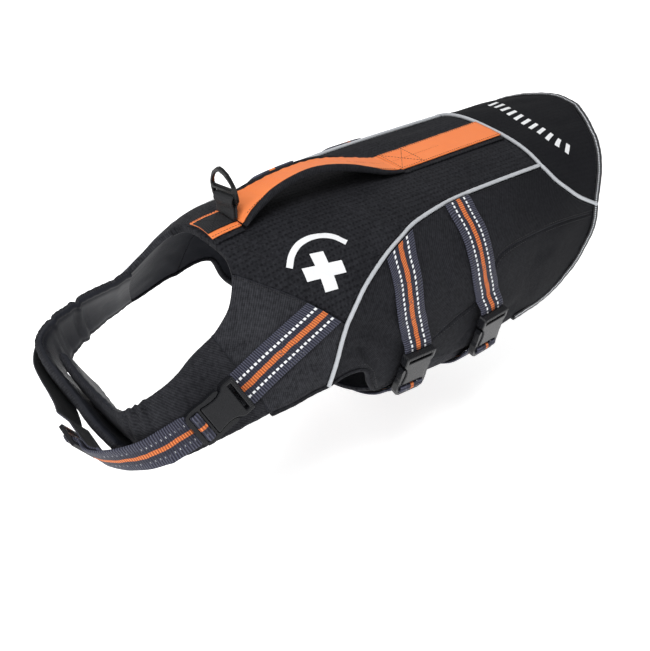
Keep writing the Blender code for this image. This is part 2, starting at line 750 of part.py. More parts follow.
def both_halves(points):
    """A symmetrical outline from its right half, a point on the middle line used once."""
    return points + [(-x, y) for x, y in reversed(points) if x > 0]


def plate(name, outlines, frame, low, high, mat, soft):
    """A flat moulding: filled outlines drawn out from height low to high in a frame."""
    data = bpy.data.curves.new(name, "CURVE")
    data.dimensions = "2D"
    data.fill_mode = "BOTH"
    data.extrude = (high - low) / 2 * MM
    for outline in outlines:
        spline = data.splines.new("POLY")
        spline.points.add(len(outline) - 1)
        for knot, (x, y) in zip(spline.points, outline):
            knot.co = (x * MM, y * MM, 0, 1)
        spline.use_cyclic_u = True
    data.materials.append(mat)
    item = bpy.data.objects.new(name, data)
    COLLECTION.objects.link(item)
    raised = LIFT_TO_ORIGIN @ frame @ Matrix.Translation((0, 0, (low + high) / 2))
    raised.translation *= MM
    item.matrix_world = raised
    weld = item.modifiers.new("weld", "WELD")
    weld.merge_threshold = 0.00001
    bevel = item.modifiers.new("bevel", "BEVEL")
    bevel.width = soft * MM
    bevel.segments = 2
    bevel.limit_method = "ANGLE"
    bevel.angle_limit = radians(50)
    return item


def axes(origin, x, y, z):
    """A frame from its origin and three directions."""
    return Matrix.Translation(origin) @ Matrix((x, y, z)).transposed().to_4x4()


def make_ring():
    yaw, lean = radians(RING_YAW), radians(RING_LEAN)
    hinge = Vector((cos(yaw), sin(yaw), 0))
    ahead = Vector((sin(yaw), -cos(yaw), 0))
    up = Vector((0, 0, cos(lean))) + ahead * sin(lean)
    middle = Vector((0, LOOP_Y, RING_HEIGHT))
    frame = axes(middle, hinge, up, hinge.cross(up))
    outlines = [both_halves(RING_OUTLINE), both_halves(RING_SLOT), both_halves(RING_EYE)]
    plate("d_ring", outlines, frame, -RING_WIRE / 2, RING_WIRE / 2, ring_plastic(), 0.7)

    run = LOOP_RUN + [(-f, h) for f, h in reversed(LOOP_RUN[:-1])]
    rings = []
    for k, (off, height) in enumerate(run):
        a, b = run[max(k - 1, 0)], run[min(k + 1, len(run) - 1)]
        share = min(max(1 - height / LOOP_RUN[0][1], 0.0), 1.0)
        half = LOOP_FOOT_HALF + (LOOP_HALF - LOOP_FOOT_HALF) * min(share * LOOP_TAPER, 1.0)
        side = Vector((cos(yaw * share), sin(yaw * share), 0))
        front = Vector((sin(yaw * share), -cos(yaw * share), 0))
        along = (front * (b[0] - a[0]) + Vector((0, 0, b[1] - a[1]))).normalized()
        out = side.cross(along)
        centre = middle + front * off + Vector((0, 0, height))
        rings.append(section(centre, side, out, half, -LOOP_THICK / 2, LOOP_THICK / 2, 0.4))
    bar("ring_loop", rings, black_webbing())


# ---------------------------------------------------------------- straps

SHARES = (-1, -0.5, 0, 0.5, 1)


def path_place(path, t):
    place = min(max(t, 0.0), 1.0) * (len(path) - 1)
    k = min(int(place), len(path) - 2)
    part = place - k
    return tuple(a + (b - a) * part for a, b in zip(path[k], path[k + 1]))


def strap_place(path, t, across):
    """The place on the trunk at share t of a strap's middle line, some distance across it."""
    y, phi = path_place(path, t)
    before, after = path_place(path, t - 0.02), path_place(path, t + 0.02)
    run = (trunk_skin(*after) - trunk_skin(*before)).normalized()
    by_y = (trunk_skin(y + 0.5, phi) - trunk_skin(y - 0.5, phi))
    by_phi = (trunk_skin(y, phi + 0.5) - trunk_skin(y, phi - 0.5))
    side = run.cross(by_phi.cross(by_y)).normalized()
    yy, yp, pp = by_y.dot(by_y), by_y.dot(by_phi), by_phi.dot(by_phi)
    wy, wp = side.dot(by_y) * across, side.dot(by_phi) * across
    size = yy * pp - yp * yp
    return y + (wy * pp - wp * yp) / size, phi + (wp * yy - wy * yp) / size


CUT_STEPS = 120
CUT_REACH = 0.5        # the share of the strap that is searched


def cut_share(path, across, line, clear, start):
    """How far along a strap one of its columns leaves a seam line by the given distance."""
    spots = [trunk_skin(*p) for p in line]
    gaps = []
    for i in range(CUT_STEPS):
        t = i / CUT_STEPS * CUT_REACH
        spot = trunk_skin(*strap_place(path, t if start else 1 - t, across))
        gaps.append(min(segment_gap(spot, a, b) for a, b in zip(spots, spots[1:])))
    k = gaps.index(min(gaps))
    while gaps[k] < clear:
        k += 1
    t = k / CUT_STEPS * CUT_REACH
    return t if start else 1 - t


def segment_gap(spot, a, b):
    along = b - a
    t = min(max((spot - a).dot(along) / along.length_squared, 0.0), 1.0)
    return (a + along * t - spot).length


def strap_rings(path, steps, starts, ends, rise=0.0):
    """Sections of a strap that lies on the trunk, each column with its own start and end.

    rise lifts its end further off the cloth.
    """
    rings = []
    half = WEB_WIDTH / 2
    for i in range(steps + 1):
        low, high = [], []
        lift = WEB_LIFT + rise * (i / steps)**3
        for n, share in enumerate(SHARES):
            t = starts[n] + (ends[n] - starts[n]) * i / steps
            place = strap_place(path, t, share * half)
            low.append(trunk(*place, lift))
            high.append(trunk(*place, lift + WEB_THICK))
        rings.append(low + high[::-1])
    return rings


def web_ring(middle, side, out, half=WEB_WIDTH / 2):
    low = [middle + side * share * half - out * WEB_THICK / 2 for share in SHARES]
    high = [middle + side * share * half + out * WEB_THICK / 2 for share in SHARES]
    return low + high[::-1]


def free_rings(rows, outward_sign, inset=0.0, sink=0.0):
    """Sections of a strap's free run; a row gives its middle and how far its face tips up.

    inset moves them towards the body, sink moves the last one down its own width.
    """
    rings = []
    for k, (x, y, z, tip) in enumerate(rows):
        a, b = rows[max(k - 1, 0)], rows[min(k + 1, len(rows) - 1)]
        run = (Vector(b[:3]) - Vector(a[:3])).normalized()
        flat = Vector((run.y, -run.x, 0)).normalized() * outward_sign
        out = flat * cos(radians(tip)) + Vector((0, 0, sin(radians(tip))))
        out = (out - run * out.dot(run)).normalized()
        middle = Vector((x, y, z)) - out * inset + run.cross(out) * sink * k / (len(rows) - 1)
        rings.append(web_ring(middle, run.cross(out), out))
    return rings


def half_steps(rows):
    """The rows of a run and one more between each two."""
    keyed = [(i, *row) for i, row in enumerate(rows)]
    return [between(keyed, i / 2) for i in range(2 * len(rows) - 1)]


# ---------------------------------------------------------------- side release buckles

SOCKET_HIGH = 7.0
PLUG_LOW = 1.0
PLUG_HIGH = 6.0
BUCKLE_LENGTH = 41.1
FOOTING_HALF = 15.0    # half width and overrun of the strip below a buckle that it has to clear
FOOTING_OVER = 1.0
# How far a buckle stays off what is below it: up to this far along it, by this much.
BUCKLE_CLEAR = [(35.0, 0.6), (99.0, 2.4)]
# Right halves of the outlines: how far across, how far along from the strap's end.
SOCKET_OUTLINE = [(0, 0), (12.6, 0), (13.5, 1), (13.6, 7.6), (12.8, 10), (10.8, 12.4), (9.6, 15.5),
                  (9.2, 19.7), (9.7, 24.3), (10.4, 27.6), (10.2, 28.5), (0, 28.5)]
SOCKET_SLOT = [(10.8, 3.3), (10.8, 6.1)]
PLUG_OUTLINE = [(0, 28.95), (10.6, 28.95), (10.9, 27.6), (10.2, 24.3), (9.7, 19.7), (10.1, 15.7),
                (11.2, 13.2), (12.6, 13), (13.5, 15.6), (13.2, 20.2), (13.1, 24.8), (13.6, 28.5),
                (13.7, 35), (12.8, 38.5), (9.5, 40.6), (0, 41.1)]
PLUG_SLOT_NEAR = [(10.9, 30.5), (10.9, 32.9)]
PLUG_SLOT_FAR = [(10.9, 35.1), (10.9, 37.6)]
# The webbing's way through the plug: how far along, height above the buckle's back, half width.
PLUG_WEB = [(31.7, 1.2, 10.5), (31.7, 5.4, 10.5), (32.2, 6.9, 10.5), (34, 7.4, 10.5),
            (35.8, 6.9, 10.5), (36.3, 5.4, 10.5), (36.3, 1.8, 10.5), (37.4, -0.4, 10.5),
            (39.5, -1.0, 11.3), (42.2, -1.6, 12.5)]


def buckle_frame(start, end, out, footing):
    """A frame at the strap's end with x across, y along the buckle and z away from the body.

    It is moved out until the buckle clears every footing point below it.
    """
    along = (end - start).normalized()
    out = (out - along * out.dot(along)).normalized()
    across = along.cross(out)
    heights = []
    for spot in footing:
        local = spot - start
        x, y, z = local.dot(across), local.dot(along), local.dot(out)
        if abs(x) <= FOOTING_HALF and -FOOTING_OVER < y < BUCKLE_LENGTH + FOOTING_OVER:
            heights.append(z + next(clear for reach, clear in BUCKLE_CLEAR if y <= reach))
    return axes(start + out * max(heights), across, along, out)


def make_buckle(place, frame):
    plastic = buckle_plastic()
    socket = both_halves(SOCKET_OUTLINE[1:-1])
    plug = both_halves(PLUG_OUTLINE[1:-1])
    plate(f"buckle_socket_{place}", [socket, both_halves(SOCKET_SLOT)], frame, 0, SOCKET_HIGH,
          plastic, 0.7)
    plate(f"buckle_plug_{place}", [plug, both_halves(PLUG_SLOT_NEAR), both_halves(PLUG_SLOT_FAR)],
          frame, PLUG_LOW, PLUG_HIGH, plastic, 0.6)


def plug_rings(frame):
    rings = []
    for k, (y, z, half) in enumerate(PLUG_WEB):
        near = PLUG_WEB[max(k - 1, 0):k + 2]
        part = [(row[0], row[1]) for row in near]
        rings.append(flat_run(frame, part, half)[0 if k == 0 else 1])
    return rings


STRAP_CLEAR = 2.2      # between a belly strap's end and the piping's middle line
NECK_STRAP_CLEAR = 0.8 # between a neck strap's end and the shoulder seam
PATH_STEPS = 60
WEB_STEPS = 120
# Shares of a belly strap's path: where its webbing leaves the cloth and where the buckle begins.
BELLY_STRAP_RISES = 0.85
BELLY_BUCKLE_START = 0.955
# A strap's last places before a buckle: along the buckle and above its back.
BELLY_STRAP_IN = [(-4.5, -0.7), (-0.6, 1.2)]
BELLY_BUCKLE_END = 31.0      # degrees of the trunk that the buckle spans past the strap's end
BELLY_BUCKLE_OUT = 13.0      # degrees past the strap's end where it lies parallel to the trunk
BELLY_FOOTING = range(-8, 44)
WEB_TAIL = 7.0         # how far beyond the plug the webbing meets the trunk
WEB_MEETS = range(95, 150)
WEB_EASE = 12.0        # degrees over which it settles on the trunk
WEB_UNDER = (150, 180, 210, 250)


def make_belly_straps(edges):
    web = striped_webbing()
    for place, rows in BELLY_STRAPS.items():
        path = spaced(smooth(rows), PATH_STEPS, trunk_skin)
        starts = [cut_share(path, share * WEB_WIDTH / 2, edges[1]["top"], STRAP_CLEAR, True)
                  for share in SHARES]
        y_end, phi_end = rows[-1]
        start = trunk(*path_place(path, BELLY_BUCKLE_START))
        end = trunk(y_end, phi_end + BELLY_BUCKLE_END)
        out = trunk(y_end, phi_end + BELLY_BUCKLE_OUT, 1.0) - trunk(y_end, phi_end + BELLY_BUCKLE_OUT)
        aside = FOOTING_HALF - 1
        footing = [trunk(y_end + dy, phi_end + a) for a in BELLY_FOOTING for dy in (-aside, 0, aside)]
        frame = buckle_frame(start, end, out, footing)
        make_buckle(place, frame)
        rings = strap_rings(path, 9, starts, [BELLY_STRAP_RISES] * 5)
        rings += [web_ring(frame @ Vector((0, *spot)), frame.col[0].to_3d(), frame.col[2].to_3d())
                  for spot in BELLY_STRAP_IN]
        bar(f"belly_strap_{place}", rings, web)

        tail = frame @ Vector((0, BUCKLE_LENGTH + WEB_TAIL, 0))
        begin = min(WEB_MEETS, key=lambda phi: (trunk_skin(y_end, phi) - tail).length)
        right = [(y, 360 - phi) for y, phi in rows[:-1]]
        way = [(y_end, phi) for phi in (begin, begin + WEB_EASE, *WEB_UNDER)] + right[::-1]
        path = spaced(smooth(way), WEB_STEPS, trunk_skin)
        mirror = [(y, 360 + phi) for y, phi in edges[-1]["top"]]
        ends = [cut_share(path, share * WEB_WIDTH / 2, mirror, STRAP_CLEAR, False) for share in SHARES]
        rings = plug_rings(frame) + strap_rings(path, 32, [0.0] * 5, ends)
        bar(f"belly_web_{place}", rings, web)


NECK_STRAP_RISE = 1.3  # how far a neck strap's end leaves the cloth
NECK_STRAP_END = (-0.6, 1.2)   # along the neck buckle and above its back
TAIL_SINK = 2.0        # how far the folded-back tail slips down the strap


def make_neck_straps(edges):
    web = striped_webbing()
    for side, word in ((1, "left"), (-1, "right")):
        rows = [(y, side * phi) for y, phi in NECK_STRAP]
        path = spaced(smooth(rows), PATH_STEPS, trunk_skin)
        starts = [cut_share(path, share * WEB_WIDTH / 2, edges[side]["shoulder"], NECK_STRAP_CLEAR, True)
                  for share in SHARES]
        rings = strap_rings(path, 7, starts, [1.0] * 5, NECK_STRAP_RISE)
        if side < 0:
            rings += free_rings(half_steps(CHEST_RUN_RIGHT), 1)
            frame = slider_frame()
            across, out = frame.col[0].to_3d(), frame.col[2].to_3d()
            for y in TAIL_STATIONS:
                rings.append(web_ring(frame @ Vector((0, y, TAIL_DEPTH)), -across, out))
            tail = half_steps(CHEST_RUN[-1:-4:-1])
            rings += free_rings(tail, 1, TAIL_INSET, TAIL_SINK)[1:-1]
        else:
            frame = neck_buckle_frame()
            place = frame @ Vector((0, *NECK_STRAP_END))
            rings.append(web_ring(place, frame.col[0].to_3d(), frame.col[2].to_3d()))
        bar(f"neck_strap_{word}", rings, web)


# ---------------------------------------------------------------- slider

SLIDER_OUTLINE = [(14.2, -9.6), (15.3, -8.5), (15.3, 8.5), (14.2, 9.6)]
SLIDER_SLOT = [(12.9, 2.0), (12.9, 6.2)]
SLIDER_HIGH = 3.0
SLIDER_OUT = 1.7       # how far the slider stands off the straps' middle line
# The webbing's way over the slider's middle bar: how far along, height above its back.
SLIDER_WEB = [(-8.5, -1.7), (-6.2, -1.5), (-4.4, -0.6), (-3.5, 0.8), (-3.4, 2.3), (-2.7, 3.8),
              (-1.2, 4.3), (1.2, 4.3), (2.7, 3.8), (3.4, 2.3), (3.5, 0.7)]
TAIL_STATIONS = (9.0, 0.0, -9.0)
TAIL_DEPTH = -4.4
TAIL_INSET = 2.8


def slider_frame():
    """Between the two straps, x across the webbing, y from the left strap to the right one."""
    left, right = CHEST_RUN[-1], CHEST_RUN_RIGHT[-1]
    start, end = Vector(left[:3]), Vector(right[:3])
    along = (end - start).normalized()
    tip = radians(left[3])
    out = Vector((0, -cos(tip), sin(tip)))
    out = (out - along * out.dot(along)).normalized()
    return axes((start + end) / 2 + out * SLIDER_OUT, along.cross(out), along, out)


def flat_run(frame, rows, half):
    """Sections of webbing whose middle line is given in a frame: along it, height."""
    turn = frame.to_3x3()
    rings = []
    for k, (y, z) in enumerate(rows):
        a, b = rows[max(k - 1, 0)], rows[min(k + 1, len(rows) - 1)]
        run = Vector((0, b[0] - a[0], b[1] - a[1])).normalized()
        out = Vector((0, -run.z, run.y))
        rings.append(web_ring(frame @ Vector((0, y, z)), turn @ Vector((1, 0, 0)), turn @ out, half))
    return rings


def make_slider():
    slots = [both_halves(SLIDER_SLOT), both_halves([(x, -y) for x, y in SLIDER_SLOT])]
    plate("slider", [SLIDER_OUTLINE + [(-x, y) for x, y in reversed(SLIDER_OUTLINE)]] + slots,
          slider_frame(), 0, SLIDER_HIGH, buckle_plastic(), 0.6)


NECK_FOOTING_BAND = [(s / 10, t / 12) for s in range(0, 45) for t in range(13)]
NECK_FOOTING_TRUNK = [(y, phi) for y in range(-209, -196, 2) for phi in range(45, 80, 3)]
NECK_BUCKLE_OUT = (2, 0.6)   # the place on the left band that the neck buckle lies parallel to


def neck_buckle_frame():
    footing = [band(1, s, t, BAND_WALL / 2) for s, t in NECK_FOOTING_BAND]
    footing += [trunk(*place) for place in NECK_FOOTING_TRUNK]
    start, end = Vector(NECK_BUCKLE[0]), Vector(NECK_BUCKLE[1])
    out = band(1, *NECK_BUCKLE_OUT, 1.0) - band(1, *NECK_BUCKLE_OUT)
    return buckle_frame(start, end, out, footing)


def make_neck_buckle():
    frame = neck_buckle_frame()
    make_buckle("neck", frame)
    rings = plug_rings(frame) + free_rings(half_steps(CHEST_RUN), -1)
    rings += flat_run(slider_frame(), SLIDER_WEB, WEB_WIDTH / 2)
    bar("chest_web", rings, striped_webbing())


def main():
    clear_scene()
    edges = make_panels()
    make_belly()
    make_bands()
    make_pipings(edges)
    make_edges(edges)
    make_spine()
    make_ring()
    make_belly_straps(edges)
    make_neck_straps(edges)
    make_neck_buckle()
    make_slider()


main()
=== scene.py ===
import math

import bmesh
import bpy
import numpy as np
from mathutils import Matrix, Vector


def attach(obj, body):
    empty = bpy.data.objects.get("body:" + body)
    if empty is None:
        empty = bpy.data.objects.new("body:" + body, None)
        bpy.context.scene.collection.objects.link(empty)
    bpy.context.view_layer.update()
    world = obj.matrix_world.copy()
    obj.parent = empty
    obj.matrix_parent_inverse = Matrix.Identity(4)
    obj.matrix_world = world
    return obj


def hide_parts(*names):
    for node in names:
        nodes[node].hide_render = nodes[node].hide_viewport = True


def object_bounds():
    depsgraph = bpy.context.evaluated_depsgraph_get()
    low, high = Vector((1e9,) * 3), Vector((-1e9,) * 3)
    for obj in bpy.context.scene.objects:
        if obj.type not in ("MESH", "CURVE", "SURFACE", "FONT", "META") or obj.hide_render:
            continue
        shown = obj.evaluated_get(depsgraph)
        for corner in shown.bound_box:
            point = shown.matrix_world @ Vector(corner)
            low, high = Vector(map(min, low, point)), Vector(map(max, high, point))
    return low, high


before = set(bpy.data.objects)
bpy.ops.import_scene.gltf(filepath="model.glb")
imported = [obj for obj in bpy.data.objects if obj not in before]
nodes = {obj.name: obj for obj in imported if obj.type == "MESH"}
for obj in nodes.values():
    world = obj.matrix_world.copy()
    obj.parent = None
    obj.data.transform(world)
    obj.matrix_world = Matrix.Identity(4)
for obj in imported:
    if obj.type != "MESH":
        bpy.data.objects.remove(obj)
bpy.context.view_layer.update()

mm = 0.001
rng = np.random.default_rng(11)

# ---- the trunk's form, in millimetres, on a line from the back lining at the spine

liningHeight = 6.0
# y, spine height, half width, height of the widest place, lowest height,
# roundness above and below, roll to the left
trunkSections = [
    (-215, -16, 97, -112, -150, 1.45, 2.2, 0),
    (-190, -5, 98, -104, -152, 1.6, 2.2, 0),
    (-155, -1, 99, -92, -151, 2.0, 2.2, 1),
    (-110, 0, 100, -86, -149, 2.4, 2.5, 1.5),
    (-60, 0, 101, -86, -155, 2.6, 2.65, 2),
    (0, 0, 99, -84, -157, 2.8, 2.8, 2.5),
    (50, 1, 95, -82, -154, 2.8, 2.9, 3),
    (100, 2, 91, -80, -148, 2.7, 3.0, 4),
    (150, 3, 88, -80, -145, 2.5, 3.0, 6),
    (210, 0, 84, -84, -140, 2.3, 3.0, 8),
]

# edges and seams of the left half: y, angle from the spine
seamLines = {
    "neckTop": [(-182, 0), (-181, 10), (-180, 20), (-183, 28)],
    "neckSide": [(-183, 28), (-189, 34), (-196, 38.5), (-205, 41), (-210.5, 42)],
    "hinge": [(-210.5, 42), (-208, 50), (-204, 58), (-198, 71), (-193, 81)],
    "legFront": [(-193, 81), (-171, 87), (-148, 90.5)],
    "legRear": [(-148, 90.5), (-136, 90), (-126, 90.2), (-118, 91.2), (-112, 93.6), (-108.5, 98.5),
                (-106, 105), (-101.5, 112), (-96, 117.5)],
    "shoulder": [(-183, 28), (-171, 36), (-152, 48.5), (-127, 68)],
    "pipingLow": [(-148, 90.5), (-140, 81.3), (-133.7, 74), (-127, 68)],
    "pipingTop": [(-127, 68), (-116, 61.6), (-106, 56), (-90, 49), (-75, 43.4), (-59, 38.6),
                  (-42, 34), (-11, 30), (12, 29), (38, 29.5), (68, 30.4), (100, 31.5)],
    "arcMiddle": [(101, -31.5), (100, -14), (100, 0), (100, 14), (100, 31.5)],
    "arcSide": [(100, 31.5), (105, 43.4), (114, 52), (126, 60), (146, 68)],
    "side": [(-96, 117.5), (-84, 109.5), (-72.5, 102), (-63.5, 95.6), (-50, 91.3), (-27, 89),
             (-3, 86.5), (10, 78), (24, 70.5), (73, 70), (133, 73)],
    "lowerFront": [(-96, 117.5), (-94.5, 119.5), (-92, 121.6)],
    "lowerHem": [(-92, 121.6), (-83, 117.6), (-75, 111.8), (-63, 107.2), (-49.5, 105.5),
                 (-35, 107.5), (-20, 109.8), (0, 109.8), (20, 108.8), (38, 109.2), (60, 108.3),
                 (84, 109)],
}
# the tail hem: angle from its crown, y
tailHem = [(0, 205.5), (8, 204), (13.5, 198), (18, 194), (25.4, 187), (34.7, 180), (45.7, 170),
           (55.9, 160), (64.6, 152), (72, 148.5), (79.4, 147), (87.2, 140), (91.7, 130),
           (97.5, 116), (105, 100), (109, 84)]
hemCrown = (-7.0, 90.0)


def through(rows, place):  # a smooth curve through a table, read at values of its first column
    rows = np.asarray(rows, float)
    first = rows[:, 0]
    count = len(first)
    place = np.clip(place, first[0], first[-1])
    k = np.clip(np.searchsorted(first, place, side="right") - 1, 0, count - 2)
    low, high = np.maximum(np.arange(count) - 1, 0), np.minimum(np.arange(count) + 1, count - 1)
    slope = (rows[high, 1:] - rows[low, 1:]) / (first[high] - first[low])[:, None]
    step = (first[k + 1] - first[k])[..., None]
    t = (place - first[k])[..., None] / step
    p, q, m, n = rows[k, 1:], rows[k + 1, 1:], slope[k] * step, slope[k + 1] * step
    return ((2 * t**3 - 3 * t**2 + 1) * p + (t**3 - 2 * t**2 + t) * m
            + (3 * t**2 - 2 * t**3) * q + (t**3 - t**2) * n)


def unit(v):
    return v / np.maximum(np.linalg.norm(v, axis=-1, keepdims=True), 1e-9)


def runAlong(points):  # the distance from the start of a line to each of its points
    return np.concatenate([[0], np.cumsum(np.linalg.norm(np.diff(points, axis=0), axis=1))])


# the right shoulder blade lies a little hollow: place, how far it reaches, depth
farSag = {"y": -92.0, "phi": -46.0, "yReach": 56.0, "phiReach": 20.0, "deep": 5.0}


def trunkSkin(y, phi, f=farSag):
    y, phi = np.broadcast_arrays(np.asarray(y, float), np.asarray(phi, float))
    sag = f["deep"] * np.exp(-((y - f["y"]) / f["yReach"])**2
                             - ((phi - f["phi"]) / f["phiReach"])**2)
    top, half, wide, low, upper, lower, roll = np.moveaxis(through(trunkSections, y), -1, 0)
    s, c = np.sin(np.radians(phi)), np.cos(np.radians(phi))
    power = 2 / np.where(c >= 0, upper, lower)
    x = np.sign(s) * np.abs(s)**power * half
    z = wide + np.where(c >= 0, top - wide, low - wide) * np.abs(c)**power
    turn, drop = np.radians(roll), z - top
    return np.stack([x * np.cos(turn) + drop * np.sin(turn), y,
                     top - x * np.sin(turn) + drop * np.cos(turn) + liningHeight - sag], -1)


def trunkOut(y, phi):
    along = trunkSkin(y + 1, phi) - trunkSkin(y - 1, phi)
    across = trunkSkin(y, phi + 1) - trunkSkin(y, phi - 1)
    return unit(np.cross(across, along))


def trunk(y, phi, lift=0.0):
    y, phi = np.asarray(y, float), np.asarray(phi, float)
    return trunkSkin(y, phi) + trunkOut(y, phi) * np.asarray(lift, float)[..., None]


# the distance round the trunk from the spine, on a grid of places and angles
arcGrid = {"reach": 225, "step": 10, "angleStep": 2.0}
arcPlaces = np.arange(-arcGrid["reach"], arcGrid["reach"] + 1, arcGrid["step"], dtype=float)
arcAngles = np.arange(0, 361, arcGrid["angleStep"])
arcRuns = trunkSkin(arcPlaces[:, None], arcAngles[None, :])
arcRuns = np.concatenate([np.zeros((len(arcPlaces), 1)),
                          np.cumsum(np.linalg.norm(np.diff(arcRuns, axis=1), axis=-1), axis=1)], 1)


def clothUv(y, phi, g=arcGrid):  # metres along the back and round the trunk from the spine
    rows = np.clip((y + g["reach"]) / g["step"], 0, len(arcPlaces) - 1.001)
    i, part = rows.astype(int), rows % 1
    j = np.clip(np.abs(phi) / g["angleStep"], 0, len(arcAngles) - 1.001)
    m, rest = j.astype(int), j % 1
    around = ((arcRuns[i, m] * (1 - rest) + arcRuns[i, m + 1] * rest) * (1 - part)
              + (arcRuns[i + 1, m] * (1 - rest) + arcRuns[i + 1, m + 1] * rest) * part)
    return np.stack([y * mm, np.sign(phi) * around * mm], -1)


def smoothed(rows, parts=8):
    rows = np.asarray(rows, float)
    keyed = np.column_stack([np.arange(len(rows)), rows])
    return through(keyed, np.linspace(0, len(rows) - 1, (len(rows) - 1) * parts + 1))


def spaced(points, count, place=None):  # evenly spaced along the real run
    spots = trunkSkin(points[:, 0], points[:, 1]) if place is None else place(points)
    run = runAlong(spots)
    want = np.linspace(0, run[-1], count + 1)
    return np.stack([np.interp(want, run, points[:, k]) for k in range(points.shape[1])], -1)


def seam(name, count, side=1):
    return spaced(smoothed([(y, side * phi) for y, phi in seamLines[name]]), count)


def hem(phi):
    crown = hemCrown[0] * np.maximum(0, 1 - np.abs(phi) / hemCrown[1])
    return through(tailHem, np.abs(phi - crown))[..., 0]


def toHem(line, phiEnd):
    share = np.linspace(0, 1, len(line))**3
    return np.column_stack([line[:, 0] + (hem(phiEnd) - line[-1, 0]) * share, line[:, 1]])


def hemLine(phiA, phiB, count):
    angles = np.linspace(phiA, phiB, math.ceil(abs(phiB - phiA)) + 1)
    return spaced(np.column_stack([hem(angles), angles]), count)


def joined(*runs):
    return np.concatenate([runs[0]] + [run[1:] for run in runs[1:]])


sides = ((1, "left"), (-1, "right"))


print("form ready")

# ---- mesh helpers


def camel(name):
    first, *rest = name.split("_")
    return first + "".join(word.capitalize() for word in rest) + "Cloth"


def meshPiece(name, points, faces, finishes, uv, faceFinish=None):
    name = camel(name)
    mesh = bpy.data.meshes.new(name)
    mesh.from_pydata((np.asarray(points) * mm).tolist(), [], [tuple(f) for f in faces])
    corner = np.empty(len(mesh.loops), int)
    mesh.loops.foreach_get("vertex_index", corner)
    mesh.uv_layers.new(name="cloth").data.foreach_set("uv", uv[corner].ravel())
    for finish in finishes:
        mesh.materials.append(finish)
    if faceFinish is not None:
        mesh.polygons.foreach_set("material_index", faceFinish)
    work = bmesh.new()
    work.from_mesh(mesh)
    bmesh.ops.recalc_face_normals(work, faces=work.faces)
    work.to_mesh(mesh)
    work.free()
    mesh.shade_smooth()
    piece = bpy.data.objects.new(name, mesh)
    bpy.context.scene.collection.objects.link(piece)
    return piece


def gridFaces(rows, columns, start=0, flip=False):
    i, j = np.meshgrid(np.arange(rows - 1), np.arange(columns - 1), indexing="ij")
    a = (start + i * columns + j).ravel()
    quad = np.stack([a, a + 1, a + columns + 1, a + columns], -1)
    return quad[:, ::-1] if flip else quad


def wallFaces(rows, columns, start=0):  # two grids of one size and the band round their rims
    size = rows * columns
    index = np.arange(start, start + size).reshape(rows, columns)
    rim = np.concatenate([index[0], index[1:, -1], index[-1, -2::-1], index[-2:0:-1, 0]])
    following = np.roll(rim, -1)
    band = np.stack([rim, rim + size, following + size, following], -1)
    return np.concatenate([gridFaces(rows, columns, start),
                           gridFaces(rows, columns, start + size, True), band])


def wallPiece(name, outer, inner, finishes, uv):  # a closed wall between two grids
    rows, columns = outer.shape[:2]
    faces = wallFaces(rows, columns)
    face = np.zeros(len(faces), int)
    count = (rows - 1) * (columns - 1)
    face[count:2 * count] = len(finishes) - 1
    points = np.concatenate([outer.reshape(-1, 3), inner.reshape(-1, 3)])
    return meshPiece(name, points, faces, finishes, np.concatenate([uv.reshape(-1, 2)] * 2), face)


def ringFaces(count, size):
    k, i = np.meshgrid(np.arange(count - 1), np.arange(size), indexing="ij")
    a, b = (k * size + i).ravel(), (k * size + (i + 1) % size).ravel()
    faces = [tuple(f) for f in np.stack([a, b, b + size, a + size], -1)]
    return faces + [tuple(range(size))[::-1], tuple(range((count - 1) * size, count * size))]


def loopTube(name, rings, run, around, cloth):  # a closed tube through loops of points
    count, size = rings.shape[:2]
    uv = np.stack(np.broadcast_arrays(run[:, None] * mm, around[None] * mm), -1)
    return meshPiece(name, rings.reshape(-1, 3), ringFaces(count, size), [cloth], uv.reshape(-1, 2))


def dressed(piece, slot, *replaced):
    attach(piece, "jacket")
    if replaced:
        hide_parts(*replaced)
    return piece


print("helpers ready")

# ---- shader helpers


def arithmetic(operation, turned=False):
    def apply(self, other):
        return self.maths(operation, *((other, self) if turned else (self, other)))
    return apply


class Value:  # one output of a shader node, with plain arithmetic
    def __init__(self, tree, out):
        self.tree, self.out = tree, out

    def maths(self, operation, *values):
        node = self.tree.nodes.new("ShaderNodeMath")
        node.operation = operation
        for place, value in zip(node.inputs, values):
            plug(self.tree, value, place)
        return Value(self.tree, node.outputs[0])

    __add__, __radd__ = arithmetic("ADD"), arithmetic("ADD", True)
    __sub__, __rsub__ = arithmetic("SUBTRACT"), arithmetic("SUBTRACT", True)
    __mul__, __truediv__ = arithmetic("MULTIPLY"), arithmetic("DIVIDE")
    __lt__ = arithmetic("LESS_THAN")

    def __abs__(self):
        return self.maths("ABSOLUTE", self)

    def sine(self):
        return self.maths("SINE", self)

    def part(self):  # what is left over after the whole number
        return self.maths("FRACT", self)

    def whole(self):
        return self.maths("FLOOR", self)

    def near(self, middle, half, soft):  # one inside a band and nothing outside, with soft sides
        return soften(abs(self - middle), half + soft, half - soft)


def plug(tree, value, place):
    if isinstance(value, Value):
        tree.links.new(value.out, place)
    else:
        place.default_value = value


def soften(value, start, end):  # rises from nothing at start to one at end
    node = value.tree.nodes.new("ShaderNodeMapRange")
    node.interpolation_type = "SMOOTHSTEP"
    plug(value.tree, value, node.inputs["Value"])
    turned = start > end
    plug(value.tree, min(start, end), node.inputs["From Min"])
    plug(value.tree, max(start, end), node.inputs["From Max"])
    plug(value.tree, 1.0 if turned else 0.0, node.inputs["To Min"])
    plug(value.tree, 0.0 if turned else 1.0, node.inputs["To Max"])
    return Value(value.tree, node.outputs[0])


